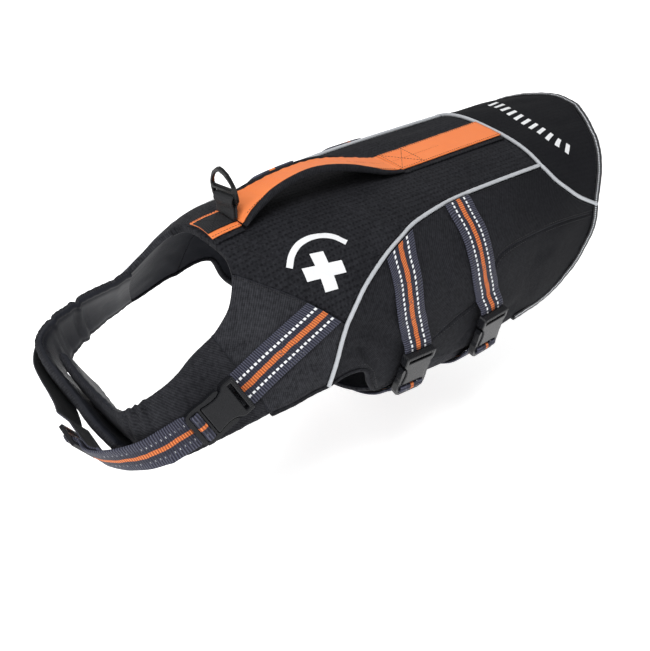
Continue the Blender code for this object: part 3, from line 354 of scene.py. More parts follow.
class Finish:  # a material on one Principled shader
    def __init__(self, name, **fixed):
        self.material = bpy.data.materials.new(name)
        self.material.use_nodes = True
        self.tree = self.material.node_tree
        self.shader = self.tree.nodes["Principled BSDF"]
        for key, value in fixed.items():
            self.shader.inputs[key.replace("_", " ")].default_value = value

    def node(self, kind, inputs=(), out=0, **settings):
        made = self.tree.nodes.new("ShaderNode" + kind)
        for key, value in settings.items():
            setattr(made, key, value)
        for key, value in dict(inputs).items():
            plug(self.tree, value, made.inputs[key])
        return Value(self.tree, made.outputs[out])

    def place(self):
        return self.node("TexCoord", out="Object")

    def uv(self):
        spot = self.node("UVMap", uv_map="cloth")
        return [self.node("SeparateXYZ", {"Vector": spot}, out) for out in (0, 1)]

    def noise(self, vector, scale, detail=2.0, stretch=None):
        if stretch:
            vector = self.node("Mapping", {"Vector": vector, "Scale": stretch})
        return self.node("TexNoise", {"Vector": vector, "Scale": scale, "Detail": detail})

    def blend(self, share, first, second):
        made = self.tree.nodes.new("ShaderNodeMix")
        made.data_type = "RGBA"
        plug(self.tree, share, made.inputs["Factor"])
        for key, value in (("A", first), ("B", second)):
            socket = [s for s in made.inputs if s.name == key and s.type == "RGBA"][0]
            plug(self.tree, value if isinstance(value, Value) else (*value, 1.0), socket)
        return Value(self.tree, [s for s in made.outputs if s.type == "RGBA"][0])

    def show(self, colour=None, roughness=None, height=None, reach=0.0003, strength=0.6):
        if colour is not None:
            plug(self.tree, colour, self.shader.inputs["Base Color"])
        if roughness is not None:
            plug(self.tree, roughness, self.shader.inputs["Roughness"])
        if height is not None:
            bump = self.node("Bump", {"Height": height, "Distance": reach, "Strength": strength},
                             out="Normal")
            plug(self.tree, bump, self.shader.inputs["Normal"])
        return self.material


turn = 2 * math.pi


def lines(value, pitch):  # evenly spaced soft ridges, from nothing to one
    return (value * (turn / pitch)).sine() * 0.5 + 0.5


# ---- cloth finishes

dullCloth = {"Roughness": 0.8, "Sheen_Weight": 0.012, "Sheen_Roughness": 0.5,
             "Specular_IOR_Level": 0.08}
dobby = {"dark": (0.0062, 0.0064, 0.0082), "light": (0.034, 0.0348, 0.0405), "rowPitch": 0.0043,
         "dashPitch": 0.0031, "dashShare": 0.55, "thread": 0.0006}


clothBump = (0.00024, 0.75)  # reach and strength


# shade below one darkens the whole copy, as painted shade
def makeDobby(name, s=dobby, shade=1.0):
    f = Finish(name, **dullCloth)
    u, v = f.uv()
    row = (v / s["rowPitch"]).whole()
    dash = (u / s["dashPitch"] + row * 0.37).part() < s["dashShare"]
    rows = (v / s["rowPitch"]).part().near(0.5, 0.16, 0.08) * dash
    weave = lines(u, s["thread"]) * lines(v, s["thread"])
    patches = f.noise(f.place(), 34.0, 3.0)
    worn = f.noise(f.place(), 420.0, 2.0)
    tone = (weave * 0.25 + patches * 0.4 + (worn - 0.5) * 1.1 + 0.12 - rows * 0.3) * shade
    height = weave * 0.5 - rows * 0.8 + worn * 0.6 + patches * 2.5
    return f.show(f.blend(tone, s["dark"], s["light"]), 0.72 + patches * 0.16, height, *clothBump)


twill = {"dark": (0.0075, 0.0077, 0.0096), "light": (0.05, 0.051, 0.0585), "pitch": 0.0016,
         "thread": 0.0006}
# where the painted shade towards the tail grows:
shadeFalloffPlaces = (-0.02, 0.11)  # from the middle of the back to the tail


def makeTwill(name, s=twill, shade=1.0, fade=0.0):  # the last argument darkens it towards the tail and shade below one darkens all of it, both as painted shade
    f = Finish(name, **dullCloth)
    u, v = f.uv()
    ribs = lines(u * 0.78 + v * 0.62, s["pitch"])
    broken = lines(v * 0.78 - u * 0.62, s["thread"] * 2)
    patches = f.noise(f.place(), 30.0, 3.0)
    worn = f.noise(f.place(), 420.0, 2.0)
    tone = (ribs * (0.25 + broken * 0.15) + patches * 0.4 + (worn - 0.5) * 1.0 + 0.08) * shade
    # painted shade: the tone darkens from the middle of the back towards the tail
    rearward = soften(f.node("SeparateXYZ", {"Vector": f.place()}, out=1), *shadeFalloffPlaces)
    tone = tone * (1.0 - rearward * fade)
    height = ribs * 0.8 + worn * 0.5 + patches * 2.5
    return f.show(f.blend(tone, s["dark"], s["light"]), 0.7 + patches * 0.18, height, *clothBump)


lining = {"dark": (0.0075, 0.0082, 0.0118), "light": (0.019, 0.0205, 0.028), "thread": 0.0007}


def makeLining(name, s=lining):
    f = Finish(name, Roughness=0.5, Sheen_Weight=0.012, Sheen_Roughness=0.4,
               Specular_IOR_Level=0.16)
    u = f.uv()[0]
    patches = f.noise(f.place(), 26.0, 3.0)
    threads = f.noise(f.place(), 900.0, 2.0)
    tone = patches * 0.7 + threads * 0.3
    height = f.noise(f.place(), 60.0, 3.0) * 3.0 + lines(u, s["thread"]) * 0.25 + threads * 0.3
    return f.show(f.blend(tone, s["dark"], s["light"]), 0.4 + patches * 0.2, height, 0.0004, 0.5)


orange = {"base": (0.88, 0.2, 0.045), "pale": (0.93, 0.29, 0.1), "thread": 0.0008}


def makeOrange(name, s=orange):
    f = Finish(name, Roughness=0.5, Sheen_Weight=0.02, Specular_IOR_Level=0.2)
    u, v = f.uv()
    patches = f.noise(f.place(), 45.0, 3.0)
    weave = lines(u, s["thread"]) * lines(v, s["thread"])
    tone = patches * 0.7 + weave * 0.2
    height = weave * 0.5 + f.noise(f.place(), 110.0, 3.0) * 1.6
    return f.show(f.blend(tone, s["base"], s["pale"]), 0.42 + patches * 0.2, height, 0.0004, 0.55)


webbing = {"navy": (0.009, 0.0095, 0.018), "light": (0.085, 0.088, 0.128),
           "white": (0.86, 0.88, 0.9), "orange": (0.95, 0.27, 0.075),
           "deep": (0.26, 0.05, 0.018), "pitch": 0.0035,
           "whiteAt": 0.0061, "whiteHalf": 0.00078, "orangeHalf": 0.0019}


def makeWebbing(name, face, s=webbing):
    f = Finish(name, Roughness=0.6, Sheen_Weight=0.03, Sheen_Roughness=0.5, Specular_IOR_Level=0.2)
    u, v = f.uv()
    step = (u / s["pitch"]).part()
    ribs = lines(u, s["pitch"] / 2)
    fine = lines(v, 0.0011)
    grain = f.noise(f.place(), 700.0, 2.0)
    zone = soften(abs(v), s["whiteAt"] - 0.0021, s["whiteAt"] + 0.0021)
    colour = f.blend(ribs * ribs * (0.35 + zone * 0.6) + grain * 0.18, s["navy"], s["light"])
    sway = f.noise(f.place(), 110.0, 1.0) * 0.0018 - 0.0009
    centre = (v + sway).near(0.0, s["orangeHalf"] if face else s["orangeHalf"] * 0.86, 0.00022)
    colour = f.blend(centre, colour, f.blend(ribs * 0.8 + grain * 0.2, s["deep"], s["orange"]))
    line = abs(v).near(s["whiteAt"], s["whiteHalf"], 0.00018)
    if face:
        white = line * step.near(0.42, 0.31, 0.05)
    else:
        white = line * step.near(0.42, 0.06, 0.05) * (f.noise(f.place(), 180.0, 1.0) * 2.2 - 0.75)
    colour = f.blend(white, colour, s["white"])
    height = ribs * (0.5 + centre * 0.7 + zone * 0.4) * (1.0 - line) + white * 0.7 + fine * 0.15
    return f.show(colour, 0.62 - white * 0.22, height + grain * 0.2, 0.0005, 0.8)


blackWeb = {"dark": (0.006, 0.006, 0.007), "light": (0.034, 0.035, 0.038), "pitch": 0.0014}


def makeBlackWeb(name, s=blackWeb):
    f = Finish(name, Roughness=0.65, Sheen_Weight=0.02, Specular_IOR_Level=0.2)
    u, v = f.uv()
    grain = f.noise(f.place(), 600.0, 2.0)
    ribs = lines(v, s["pitch"]) * (0.6 + lines(u, s["pitch"] * 1.2) * 0.4)
    colour = f.blend(ribs * 0.7 + grain * 0.3, s["dark"], s["light"])
    return f.show(colour, 0.55 + grain * 0.2, ribs + grain * 0.3, 0.00035, 0.8)


piping = {"dark": (0.36, 0.375, 0.4), "light": (0.56, 0.58, 0.61)}


def makePiping(name, s=piping):
    f = Finish(name, Roughness=0.38)
    grain = f.noise(f.place(), 1500.0, 2.0)
    patches = f.noise(f.place(), 60.0, 2.0)
    colour = f.blend(patches * 0.6 + grain * 0.4, s["dark"], s["light"])
    return f.show(colour, 0.3 + grain * 0.25, grain + patches, 0.00025, 0.5)


# the flecks' two rows: place along, half length, distance from the edge, half width
trim = {"dark": (0.006, 0.0062, 0.0075), "light": (0.026, 0.027, 0.031),
        "fleck": (0.84, 0.86, 0.9), "pitch": 0.0016,
        "rows": ((0.0, 0.24, 0.0026, 0.0006), (0.5, 0.2, 0.0052, 0.0004))}


def makeTrim(name, s=trim):  # binding with light flecks along the edge
    f = Finish(name, Roughness=0.6)
    u, v = f.uv()
    grain = f.noise(f.place(), 600.0, 2.0)
    fleck, second = ((u / s["pitch"] + start).part().near(0.5, long, 0.06)
                     * v.near(place, wide, 0.0002) for start, long, place, wide in s["rows"])
    ribs = lines(u, s["pitch"])
    colour = f.blend(ribs * 0.5 + grain * 0.4, s["dark"], s["light"])
    colour = f.blend(fleck + second * 0.4, colour, s["fleck"])
    return f.show(colour, 0.62, ribs + fleck + grain * 0.3, 0.0003, 0.7)


def makePlastic(name, dark, light, rough):
    f = Finish(name, Specular_IOR_Level=0.3)
    grain = f.noise(f.place(), 1800.0, 2.0)
    patches = f.noise(f.place(), 120.0, 3.0)
    wear = f.noise(f.place(), 260.0, 4.0, (1.0, 3.0, 1.0))
    colour = f.blend(patches * 0.7 + grain * 0.3, dark, light)
    return f.show(colour, rough + wear * 0.16, grain * 0.5 + patches, 0.00012, 0.5)


def makeThread(name, dark, light):
    f = Finish(name, Roughness=0.6)
    grain = f.noise(f.place(), 2500.0, 1.0)
    return f.show(f.blend(grain, dark, light), 0.6, grain, 0.0001, 0.5)


ink = {"dark": (0.78, 0.79, 0.81), "light": (0.93, 0.935, 0.945), "thread": 0.0009}


def makePrint(name, s=ink):  # reflective ink on cloth
    f = Finish(name, Roughness=0.45)
    u, v = f.uv()
    weave = lines(u, s["thread"]) * lines(v, s["thread"])
    patches = f.noise(f.place(), 260.0, 3.0)
    colour = f.blend(patches * 0.8 + weave * 0.2, s["dark"], s["light"])
    return f.show(colour, 0.4 + weave * 0.2, weave + patches * 0.5, 0.0002, 0.6)


finishes = {
    "dobby": makeDobby("dobbyCloth"),
    "twill": makeTwill("twillCloth"),
    # band, tail and side are darker copies of the twill and dobby: painted shade on these pieces,
    # the side darker still towards the tail
    "band": makeTwill("bandCloth", shade=0.75),
    "tail": makeDobby("tailCloth", shade=0.22),
    "side": makeTwill("sideCloth", {**twill, "dark": (0.0055, 0.0057, 0.0073)}, 0.55, 0.6),
    "lining": makeLining("liningCloth"),
    "plain": makeTwill("handleCloth", {"dark": (0.006, 0.0062, 0.0077), "pitch": 0.0011,
                                       "light": (0.026, 0.0265, 0.031), "thread": 0.0005}),
    "orange": makeOrange("orangeStrip"),
    "face": makeWebbing("stripedWebbing", True),
    "back": makeWebbing("stripedWebbingBack", False),
    "web": makeBlackWeb("blackWebbing"),
    "piping": makePiping("pipingGrey"),
    "trim": makeTrim("fleckedBinding"),
    "buckle": makePlastic("bucklePlastic", (0.005, 0.0053, 0.0065), (0.0115, 0.012, 0.0145), 0.2),
    "ring": makePlastic("ringPlastic", (0.004, 0.004, 0.0045), (0.01, 0.01, 0.011), 0.22),
    "black": makeThread("blackThread", (0.006, 0.006, 0.007), (0.022, 0.022, 0.025)),
    "grey": makeThread("greyThread", (0.05, 0.05, 0.055), (0.1, 0.1, 0.11)),
    "rust": makeThread("rustThread", (0.4, 0.1, 0.03), (0.6, 0.17, 0.05)),
    "ink": makePrint("reflectiveInk"),
}
print("finishes ready")

# ---- the cloth's small relief: a slow swell, creases and gathers at the seams

swell = {"count": 30, "shortest": 24.0, "longest": 90.0, "height": 0.5, "crease": 1.5,
         "most": 0.55, "puckers": 16, "puckerLengths": (5.0, 13.0)}
waveTurn = unit(rng.normal(size=(swell["count"], 3)))
waveLong = rng.uniform(swell["shortest"], swell["longest"], swell["count"])
waveStart = rng.uniform(0, turn, swell["count"])
puckerTurn = unit(rng.normal(size=(swell["puckers"], 3)))
puckerLong = rng.uniform(*swell["puckerLengths"], swell["puckers"])

# each crease: its places from end to end, half width, depth, ridge beside it, which side it is on
creases = [
    ([(-130, 79), (-119, 82), (-110, 88), (-103, 93), (-95, 101)], 3.2, 2.1, 0.8, 0),
    ([(-124, 73), (-108, 77), (-92, 84), (-80, 93)], 4.5, 1.1, 0.5, 0),
    ([(-118, 84), (-104, 98), (-92, 108)], 2.4, 1.3, 0.5, 0),
    ([(-100, 62), (-86, 70), (-74, 80)], 5.5, 0.8, 0.5, 1),
    ([(-44, 44), (-38, 56), (-36, 70), (-40, 82)], 5.0, 0.9, 0.5, 0),
    ([(-24, 38), (-18, 50), (-16, 62)], 4.0, 0.6, 0.4, 1),
    ([(24, 38), (30, 50), (34, 62)], 5.5, 0.7, 0.5, 0),
    ([(48, 36), (62, 48), (84, 56)], 7.0, 0.7, 0.4, 1),
    ([(-128, 19), (-112, 21.5), (-97, 21), (-82, 17.5)], 4.0, 1.1, 0.5, 0),
    ([(-110, 26), (-94, 27.5), (-78, 24)], 5.0, 0.9, 0.5, 1),
    ([(-92, 32), (-76, 30), (-58, 22), (-40, 18)], 5.0, 0.9, 0.4, 0),
    ([(-140, 17), (-131, 27), (-118, 35)], 5.0, 0.6, 0.4, -1),
    ([(-66, 15), (-58, 20), (-54, 28)], 3.0, 0.8, 0.4, 1),
    ([(-172, 15), (-160, 22), (-150, 32)], 5.0, 0.6, 0.3, 0),
    ([(10, 13), (30, 18), (60, 20), (88, 18)], 5.5, 0.7, 0.4, 0),
    ([(-209, 48), (-199, 52), (-188, 53)], 3.2, 1.4, 0.6, 0),
    ([(-205, 57), (-195, 60), (-183, 59)], 4.0, 1.0, 0.5, 1),
    ([(-197, 73), (-186, 74), (-172, 78)], 3.4, 1.2, 0.5, 0),
    ([(-190, 44), (-176, 50), (-160, 60)], 5.5, 0.7, 0.4, -1),
    ([(-165, 72), (-154, 78), (-147, 87)], 3.6, 0.9, 0.5, 0),
    ([(112, -28), (128, -20), (146, -18)], 7.0, 0.7, 0.4, 0),
    ([(108, 22), (122, 34), (136, 44)], 7.0, 0.7, 0.4, 0),
    ([(150, 8), (168, 12), (186, 10)], 5.0, 0.8, 0.4, 0),
    ([(-64, 104), (-52, 98), (-42, 96)], 3.0, 0.9, 0.4, 0),
    ([(12, 92), (30, 96), (52, 98)], 5.0, 0.9, 0.5, 0),
    ([(60, 84), (84, 82), (108, 86)], 6.0, 0.7, 0.4, 1),
    ([(30, 108), (20, 100), (8, 95)], 3.0, 1.0, 0.5, 0),
    ([(-20, 102), (-8, 96), (0, 90)], 3.0, 0.8, 0.4, 0),
]


def creaseRuns():
    runs = []
    for places, wide, deep, ridge, where in creases:
        for side in ((1, -1) if where == 0 else (where,)):
            # the far side's copies are slipped along and made shallower, so that they differ
            slip = 0.0 if side > 0 else 5.0 * math.sin(places[0][0] * 0.7)
            way = smoothed([(y + slip, side * phi) for y, phi in places], 10)
            share = 1.0 if side > 0 or where else 0.8
            runs.append((trunkSkin(way[:, 0], way[:, 1]), wide, deep * share, ridge))
    return runs


creaseLines = creaseRuns()


def relief(points, s=swell):
    flat = points.reshape(-1, 3)
    phase = flat @ (waveTurn / waveLong[:, None]).T * turn + waveStart
    lift = (np.sin(phase) * (waveLong / s["longest"])).sum(-1)
    lift *= s["height"] / math.sqrt(s["count"] / 3)
    for way, wide, deep, ridge in creaseLines:
        low, top = way.min(0) - 4 * wide, way.max(0) + 4 * wide
        near = np.nonzero(((flat > low) & (flat < top)).all(1))[0]
        if not len(near):
            continue
        gaps = np.linalg.norm(flat[near, None] - way[None], axis=-1)
        spot = gaps.argmin(1)
        gap = gaps[np.arange(len(near)), spot] / wide
        fade = np.sin(np.pi * (spot + 0.5) / len(way))**0.7
        fade *= 0.8 + 0.2 * np.sin(flat[near, 1] * 0.31)
        profile = ridge * np.exp(-(gap - 2.0)**2 * 1.1) - np.exp(-gap**2)
        lift[near] += deep * s["crease"] * fade * profile
    return np.minimum(lift, s["most"]).reshape(points.shape[:-1])


def puckers(points):
    flat = points.reshape(-1, 3)
    phase = flat @ (puckerTurn / puckerLong[:, None]).T * turn
    return np.sin(phase).mean(-1).reshape(points.shape[:-1])


def printed(y, phi, lift=0.0):  # a point on the finished cloth
    points = trunkSkin(y, phi)
    return points + trunkOut(y, phi) * (relief(points) + lift)[..., None]


# ---- sewn panels

panelForm = {"cell": 2.3, "roll": 3.6, "drop": 1.5, "underDrop": 0.8, "gap": 0.34, "parts": 8,
             "pucker": 0.75, "puckerReach": 6.0, "reliefReach": 5, "underRelief": 0.25,
             "corner": 11, "bellyRear": 52.0, "leastArea": 0.31}
wallThick = {"back": 6.0, "side": 5.0, "belly": 4.0, "band": 8.0}


def at(line, t):
    where = np.asarray(t) * (len(line) - 1)
    return np.stack([np.interp(where, np.arange(len(line)), line[:, k]) for k in range(2)], -1)


def runLength(line):
    return np.linalg.norm(np.diff(trunkSkin(line[:, 0], line[:, 1]), axis=0), axis=1).sum()


def easedShares(length, cell):  # shares of a length, closer together near both ends
    near = np.array([0, 0.35, 0.9, 1.6, 2.5, 3.6])
    reach = near[-1]
    if length < 16:
        return np.linspace(0, 1, max(int(length / 0.8), 6))
    middle = np.linspace(reach, length - reach, int((length - 2 * reach) / cell) + 2)[1:-1]
    return np.concatenate([near, middle, length - near[::-1]]) / length


def patch(front, rear, right, left, cell=panelForm["cell"]):  # a grid between four edges
    us = easedShares(max(runLength(right), runLength(left)), cell)
    vs = easedShares(max(runLength(front), runLength(rear)), cell)
    u, v = us[:, None, None], vs[None, :, None]
    top, low = at(front, vs)[None], at(rear, vs)[None]
    near, far = at(right, us)[:, None], at(left, us)[:, None]
    return ((1 - u) * top + u * low + (1 - v) * near + v * far
            - (1 - u) * (1 - v) * front[0] - (1 - u) * v * front[-1]
            - u * (1 - v) * rear[0] - u * v * rear[-1])


def drawnIn(grid, amount):  # the same grid with its edges moved inwards
    points = trunkSkin(grid[..., 0], grid[..., 1])
    result = grid.copy()
    for axis in (0, 1):
        for edge, inside in ((0, 1), (-1, -2)):
            here, there = np.take(grid, edge, axis), np.take(grid, inside, axis)
            length = np.linalg.norm(np.take(points, inside, axis) - np.take(points, edge, axis),
                                    axis=-1)
            t = np.minimum(amount / np.maximum(length, 1e-6), 0.5)[:, None]
            moved = np.take(result, edge, axis) + (there - here) * t
            if axis == 0:
                result[edge] = moved
            else:
                result[:, edge] = moved
    return result


def edgeDistance(points):  # from each point of a grid to the nearest of its edges
    best = np.full(points.shape[:2], 1e9)
    for axis in (0, 1):
        steps = np.linalg.norm(np.diff(points, axis=axis), axis=-1)
        run = np.cumsum(steps, axis=axis)
        zero = np.zeros_like(np.take(run, [0], axis))
        run = np.concatenate([zero, run], axis)
        best = np.minimum(best, np.minimum(run, np.take(run, [-1], axis) - run))
    return best


def rolled(distance, roll, drop):
    u = 1 - np.clip(distance / roll, 0, 1)
    return -drop * (1 - np.sqrt(np.maximum(1 - u * u, 0)))


def panelPiece(name, grid, thick, cloth, slot, s=panelForm):
    grid = drawnIn(grid, s["gap"] / 2)
    y, phi = grid[..., 0], grid[..., 1]
    skin, out = trunkSkin(y, phi), trunkOut(y, phi)
    edge = edgeDistance(skin)
    lift = relief(skin) * np.clip(edge / s["reliefReach"], 0, 1)
    lift = lift + rolled(edge, s["roll"], s["drop"])
    pucker = puckers(skin) * s["pucker"] * np.exp(-edge / s["puckerReach"])
    lift = lift + pucker * np.clip(edge, 0, 1)
    under = -thick - rolled(edge, s["roll"], s["underDrop"]) + relief(skin) * s["underRelief"]
    piece = wallPiece(name, skin + out * lift[..., None], skin + out * under[..., None],
                      [cloth, finishes["lining"]], clothUv(y, phi))
    dressed(piece, slot, name)
    area = gridArea(skin)
    wide = max(runLength(grid[0]), runLength(grid[-1]), runLength(grid[len(grid) // 2]))
    long = max(runLength(grid[:, 0]), runLength(grid[:, -1]),
               runLength(grid[:, grid.shape[1] // 2]))
    area = min(max(area, s["leastArea"] * wide * long * mm * mm), wide * long * mm * mm)
    return piece


def gridArea(points):
    a = points[1:, :-1] - points[:-1, :-1]
    b = points[:-1, 1:] - points[:-1, :-1]
    return np.linalg.norm(np.cross(a, b), axis=-1).sum() * mm * mm


parts = panelForm["parts"]
seamSteps, lowSteps, topSteps, arcSteps = 6 * parts, 4 * parts, 15 * parts, 5 * parts
middleSteps, hingeSteps, sideSteps = 6 * parts, 5 * parts, 5 * parts


def panelEdges():
    edges = {}
    for side in (1, -1):
        edges[side] = {
            "shoulder": seam("shoulder", seamSteps, side),
            "low": seam("pipingLow", lowSteps, side),
            "top": seam("pipingTop", topSteps, side),
            "arc": toHem(seam("arcSide", arcSteps, side), side * seamLines["arcSide"][-1][1]),
            "side": toHem(seam("side", lowSteps + topSteps + arcSteps, side),
                          side * seamLines["side"][-1][1]),
            "hinge": seam("hinge", hingeSteps, side),
            "neck": seam("neckSide", lowSteps, side),
        }
    return edges


edges = panelEdges()


def makePanels(s=panelForm):
    right, left = edges[-1], edges[1]
    neck = joined(seam("neckTop", middleSteps // 2, -1)[::-1], seam("neckTop", middleSteps // 2, 1))
    arcMiddle = spaced(smoothed(seamLines["arcMiddle"]), middleSteps)
    panelPiece("back_panel", patch(neck, arcMiddle, joined(right["shoulder"], right["top"]),
                                   joined(left["shoulder"], left["top"])),
               wallThick["back"], finishes["dobby"], "oxford_cloth")
    ends = {side: edges[side]["arc"][-1] for side in (1, -1)}
    corner = {side: side * (abs(ends[side][1]) - s["corner"]) for side in (1, -1)}
    flank = {side: hemLine(ends[side][1], corner[side], sideSteps) for side in (1, -1)}
    arc = joined(right["arc"][::-1], arcMiddle, left["arc"])
    tail = hemLine(corner[-1], corner[1], len(arc) - 1)
    panelPiece("rear_panel", patch(arc, tail, flank[-1], flank[1]), wallThick["side"],
               finishes["tail"], "oxford_cloth")
    for side, word in sides:
        e = edges[side]
        lowEdge = seam("legFront", seamSteps, side)
        front = joined(e["hinge"][::-1], e["neck"][::-1])
        rear = seam("pipingLow", hingeSteps + lowSteps, side)
        panelPiece(f"shoulder_{word}", patch(front, rear, lowEdge, e["shoulder"]),
                   wallThick["side"], finishes["twill"], "twill_cloth")
        upper = joined(e["low"], e["top"], e["arc"])
        legEdge = seam("legRear", sideSteps, side)
        rearEdge = hemLine(e["arc"][-1][1], e["side"][-1][1], sideSteps)
        panelPiece(f"side_upper_{word}", patch(legEdge, rearEdge, upper, e["side"]),
                   wallThick["side"], finishes["side"], "twill_cloth")
        lowHem = toHem(seam("lowerHem", lowSteps + topSteps + arcSteps, side),
                       side * seamLines["lowerHem"][-1][1])
        rearLow = hemLine(e["side"][-1][1], lowHem[-1][1], sideSteps)
        panelPiece(f"side_lower_{word}", patch(seam("lowerFront", sideSteps, side), rearLow,
                                               e["side"], lowHem),
                   wallThick["side"], finishes["side"], "twill_cloth")
        under = lowHem[::-1][lowHem[::-1][:, 0] > s["bellyRear"]]
        e["hem"] = joined(flank[side][::-1], rearEdge, rearLow, under)
        e["leg"] = joined(lowEdge, legEdge)
    right["hem"] = joined(right["hem"][::-1], tail)


makePanels()
print("panels ready")

# the belly panel: angle from the spine, front y, rear y, lift of its outer face
bellyForm = {"rows": [(94, -66, 42, -5.7), (113, -71, 46, -5.7), (119, -76, 49, -3.4),
                      (126, -81, 52, -1.2), (150, -92, 58, -1), (180, -98, 61, -1.5)],
             "columns": 120, "length": 140, "cell": 2.6, "roll": 3.0, "drop": 1.4, "underDrop": 1.2,
             "reliefMost": 0.3, "reliefReach": 6, "width": 159.0}


def makeBelly(s=bellyForm):
    start = s["rows"][0][0]
    phi = np.linspace(start, 360 - start, s["columns"])[None, :]
    front, rear, lift = np.moveaxis(through(s["rows"], np.minimum(phi, 360 - phi)), -1, 0)
    u = easedShares(s["length"], s["cell"])[:, None]
    y = front + (rear - front) * u
    phi = np.broadcast_to(phi, y.shape)
    skin, out = trunkSkin(y, phi), trunkOut(y, phi)
    edge = edgeDistance(skin)
    swells = np.minimum(relief(skin), s["reliefMost"]) * np.clip(edge / s["reliefReach"], 0, 1)
    top = lift + rolled(edge, s["roll"], s["drop"]) + swells
    under = lift - wallThick["belly"] - rolled(edge, s["roll"], s["underDrop"]) + swells * 0.5
    uv = clothUv(y, np.where(phi > 180, phi - 360, phi))
    uv[..., 1] = np.abs(uv[..., 1])
    piece = wallPiece("belly_panel", skin + out * top[..., None], skin + out * under[..., None],
                      [finishes["twill"], finishes["lining"]], uv)
    dressed(piece, "lining_cloth", "belly_panel")
    long, wide = runLength(np.stack([y[10], phi[10]], -1)), s["width"]
    gridArea(skin)


makeBelly()

# ---- neck bands: top edge x, y, z, bottom edge x, y, z, bulge, from the shoulder to the flap

bandRows = [
    (57, -210, -44, 96, -193, -95, 0),
    (58, -228, -54, 90, -211, -101, 3),
    (63, -243, -60, 85, -230, -106, 4),
    (64, -256, -65, 80, -245, -111, 4),
    (64, -267, -68, 73, -256, -115, 4),
]
flapRows = {
    1: [(61, -276, -72, 64, -261, -119, 3), (52, -280, -79, 52, -257, -123, 2),
        (35, -278, -87, 32, -252, -128, 2), (10, -276, -91, 8, -250, -132, 2),
        (-18, -276, -90, -18, -250, -131, 2), (-42, -276, -84, -40, -251, -127, 1)],
    -1: [(-62, -279, -74, -63, -267, -120, 1), (-56, -285.5, -79, -52, -266, -125, 1),
         (-40, -288, -83, -34, -260, -132, 3), (-8, -288, -91, -6, -257, -137, 3),
         (20, -287.5, -99, 20, -256, -138, 3), (48, -284.5, -105, 46, -258, -131, 3)],
}


def bandTable(side):
    rows = [(side * x, y, z, side * u, v, w, b) for x, y, z, u, v, w, b in bandRows]
    rows = np.array(rows + flapRows[side], float) + [0, 0, liningHeight, 0, 0, liningHeight, 0]
    return np.column_stack([np.arange(len(rows)), rows])


bandTables = {side: bandTable(side) for side, _ in sides}
bandForm = {"blend": 1.6, "edge": 0.62, "edgeReach": 0.22, "rim": 0.035,
            "stitch": 0.085, "stitchReach": 0.022, "stitchDeep": 0.7}
hingeLines = {side: seam("hinge", 20, side) for side, _ in sides}


def bandSkin(side, s, t):
    rows = bandTables[side]
    last = len(rows) - 1
    values = through(rows, s)
    top, bottom, bulge = values[..., :3], values[..., 3:6], values[..., 6:]
    across = bottom - top
    ahead, behind = through(rows, np.minimum(s + 0.1, last)), through(rows, np.maximum(s - 0.1, 0))
    along = ahead[..., :3] + ahead[..., 3:6] - behind[..., :3] - behind[..., 3:6]
    out = unit(np.cross(along, across)) * side
    return top + across * t[..., None] + out * bulge * np.sin(np.pi * t)[..., None]


def bandFrame(side, s, t):  # the middle of the band and its outward direction
    s, t = np.broadcast_arrays(np.asarray(s, float), np.asarray(t, float))
    step = 0.02
    point = bandSkin(side, s, t)
    along = bandSkin(side, s + step, t) - bandSkin(side, s - step, t)
    across = bandSkin(side, s, t + step) - bandSkin(side, s, t - step)
    out = unit(np.cross(along, across) * side)
    place = at(hingeLines[side], np.clip(t, 0, 1))
    middle = trunk(place[..., 0], place[..., 1], np.full(s.shape, -wallThick["band"] / 2))
    share = (np.clip(1 - s / bandForm["blend"], 0, 1)**2)[..., None]
    point = point + (middle - bandSkin(side, np.zeros_like(s), t)) * share
    return point, unit(out * (1 - share) + trunkOut(place[..., 0], place[..., 1]) * share)


# folds across a band: side, station, share across, half length along, half width across, height
bandFolds = [
    (1, 4.15, 0.0, 0.13, 0.42, -2.2), (1, 4.5, 0.0, 0.10, 0.34, 1.5),
    (1, 4.75, 0.02, 0.09, 0.30, -1.7), (1, 5.05, 0.0, 0.12, 0.40, 1.4),
    (1, 5.4, 0.05, 0.11, 0.45, -1.5), (1, 0.55, 0.2, 0.16, 0.5, -1.0),
    (1, 0.85, 0.85, 0.16, 0.4, -1.2), (1, 2.1, 0.1, 0.25, 0.4, -0.8),
    (1, 3.2, 0.15, 0.22, 0.4, -0.8), (1, 6.5, 0.4, 0.25, 0.5, -0.9), (1, 8.2, 0.5, 0.3, 0.5, 0.8),
    (1, 7.7, 1.0, 2.0, 0.55, 3.4), (-1, 2.45, 0.35, 0.10, 0.75, -2.6),
    (-1, 2.75, 0.6, 0.10, 0.6, 1.2), (-1, 2.2, 0.75, 0.08, 0.5, 1.1),
    (-1, 2.6, 0.95, 0.12, 0.5, -1.8), (-1, 0.6, 0.3, 0.16, 0.5, -1.1),
    (-1, 1.3, 0.7, 0.25, 0.5, 0.9), (-1, 4.2, 0.2, 0.14, 0.5, -1.6),
    (-1, 4.6, 0.7, 0.16, 0.5, -1.4), (-1, 3.7, 0.85, 0.2, 0.4, 1.1),
    (-1, 6.4, 0.5, 0.25, 0.5, -1.0), (-1, 8.4, 0.5, 0.3, 0.5, -0.9),
]


def bandLift(side, s, t, inside, b=bandForm):
    edge = np.minimum(t, 1 - t)
    half = wallThick["band"] / 2 * (b["edge"] + (1 - b["edge"])
                                    * np.sin(np.clip(edge / b["edgeReach"], 0, 1) * np.pi / 2))
    half = half * np.sqrt(np.clip(edge / b["rim"], 0.02, 1))
    half = half - np.exp(-((edge - b["stitch"]) / b["stitchReach"])**2) * b["stitchDeep"]
    folds = np.zeros_like(half)
    for where, station, middle, long, wide, high in bandFolds:
        if where == side:
            folds += high * np.exp(-((s - station) / long)**2 - ((t - middle) / wide)**2)
    ripple = np.sin(s * 19 + np.sin(t * 5) * 1.3) * 0.22 * np.exp(-edge / 0.12)
    return half + ripple + folds * (-0.9 if inside else 1.0)


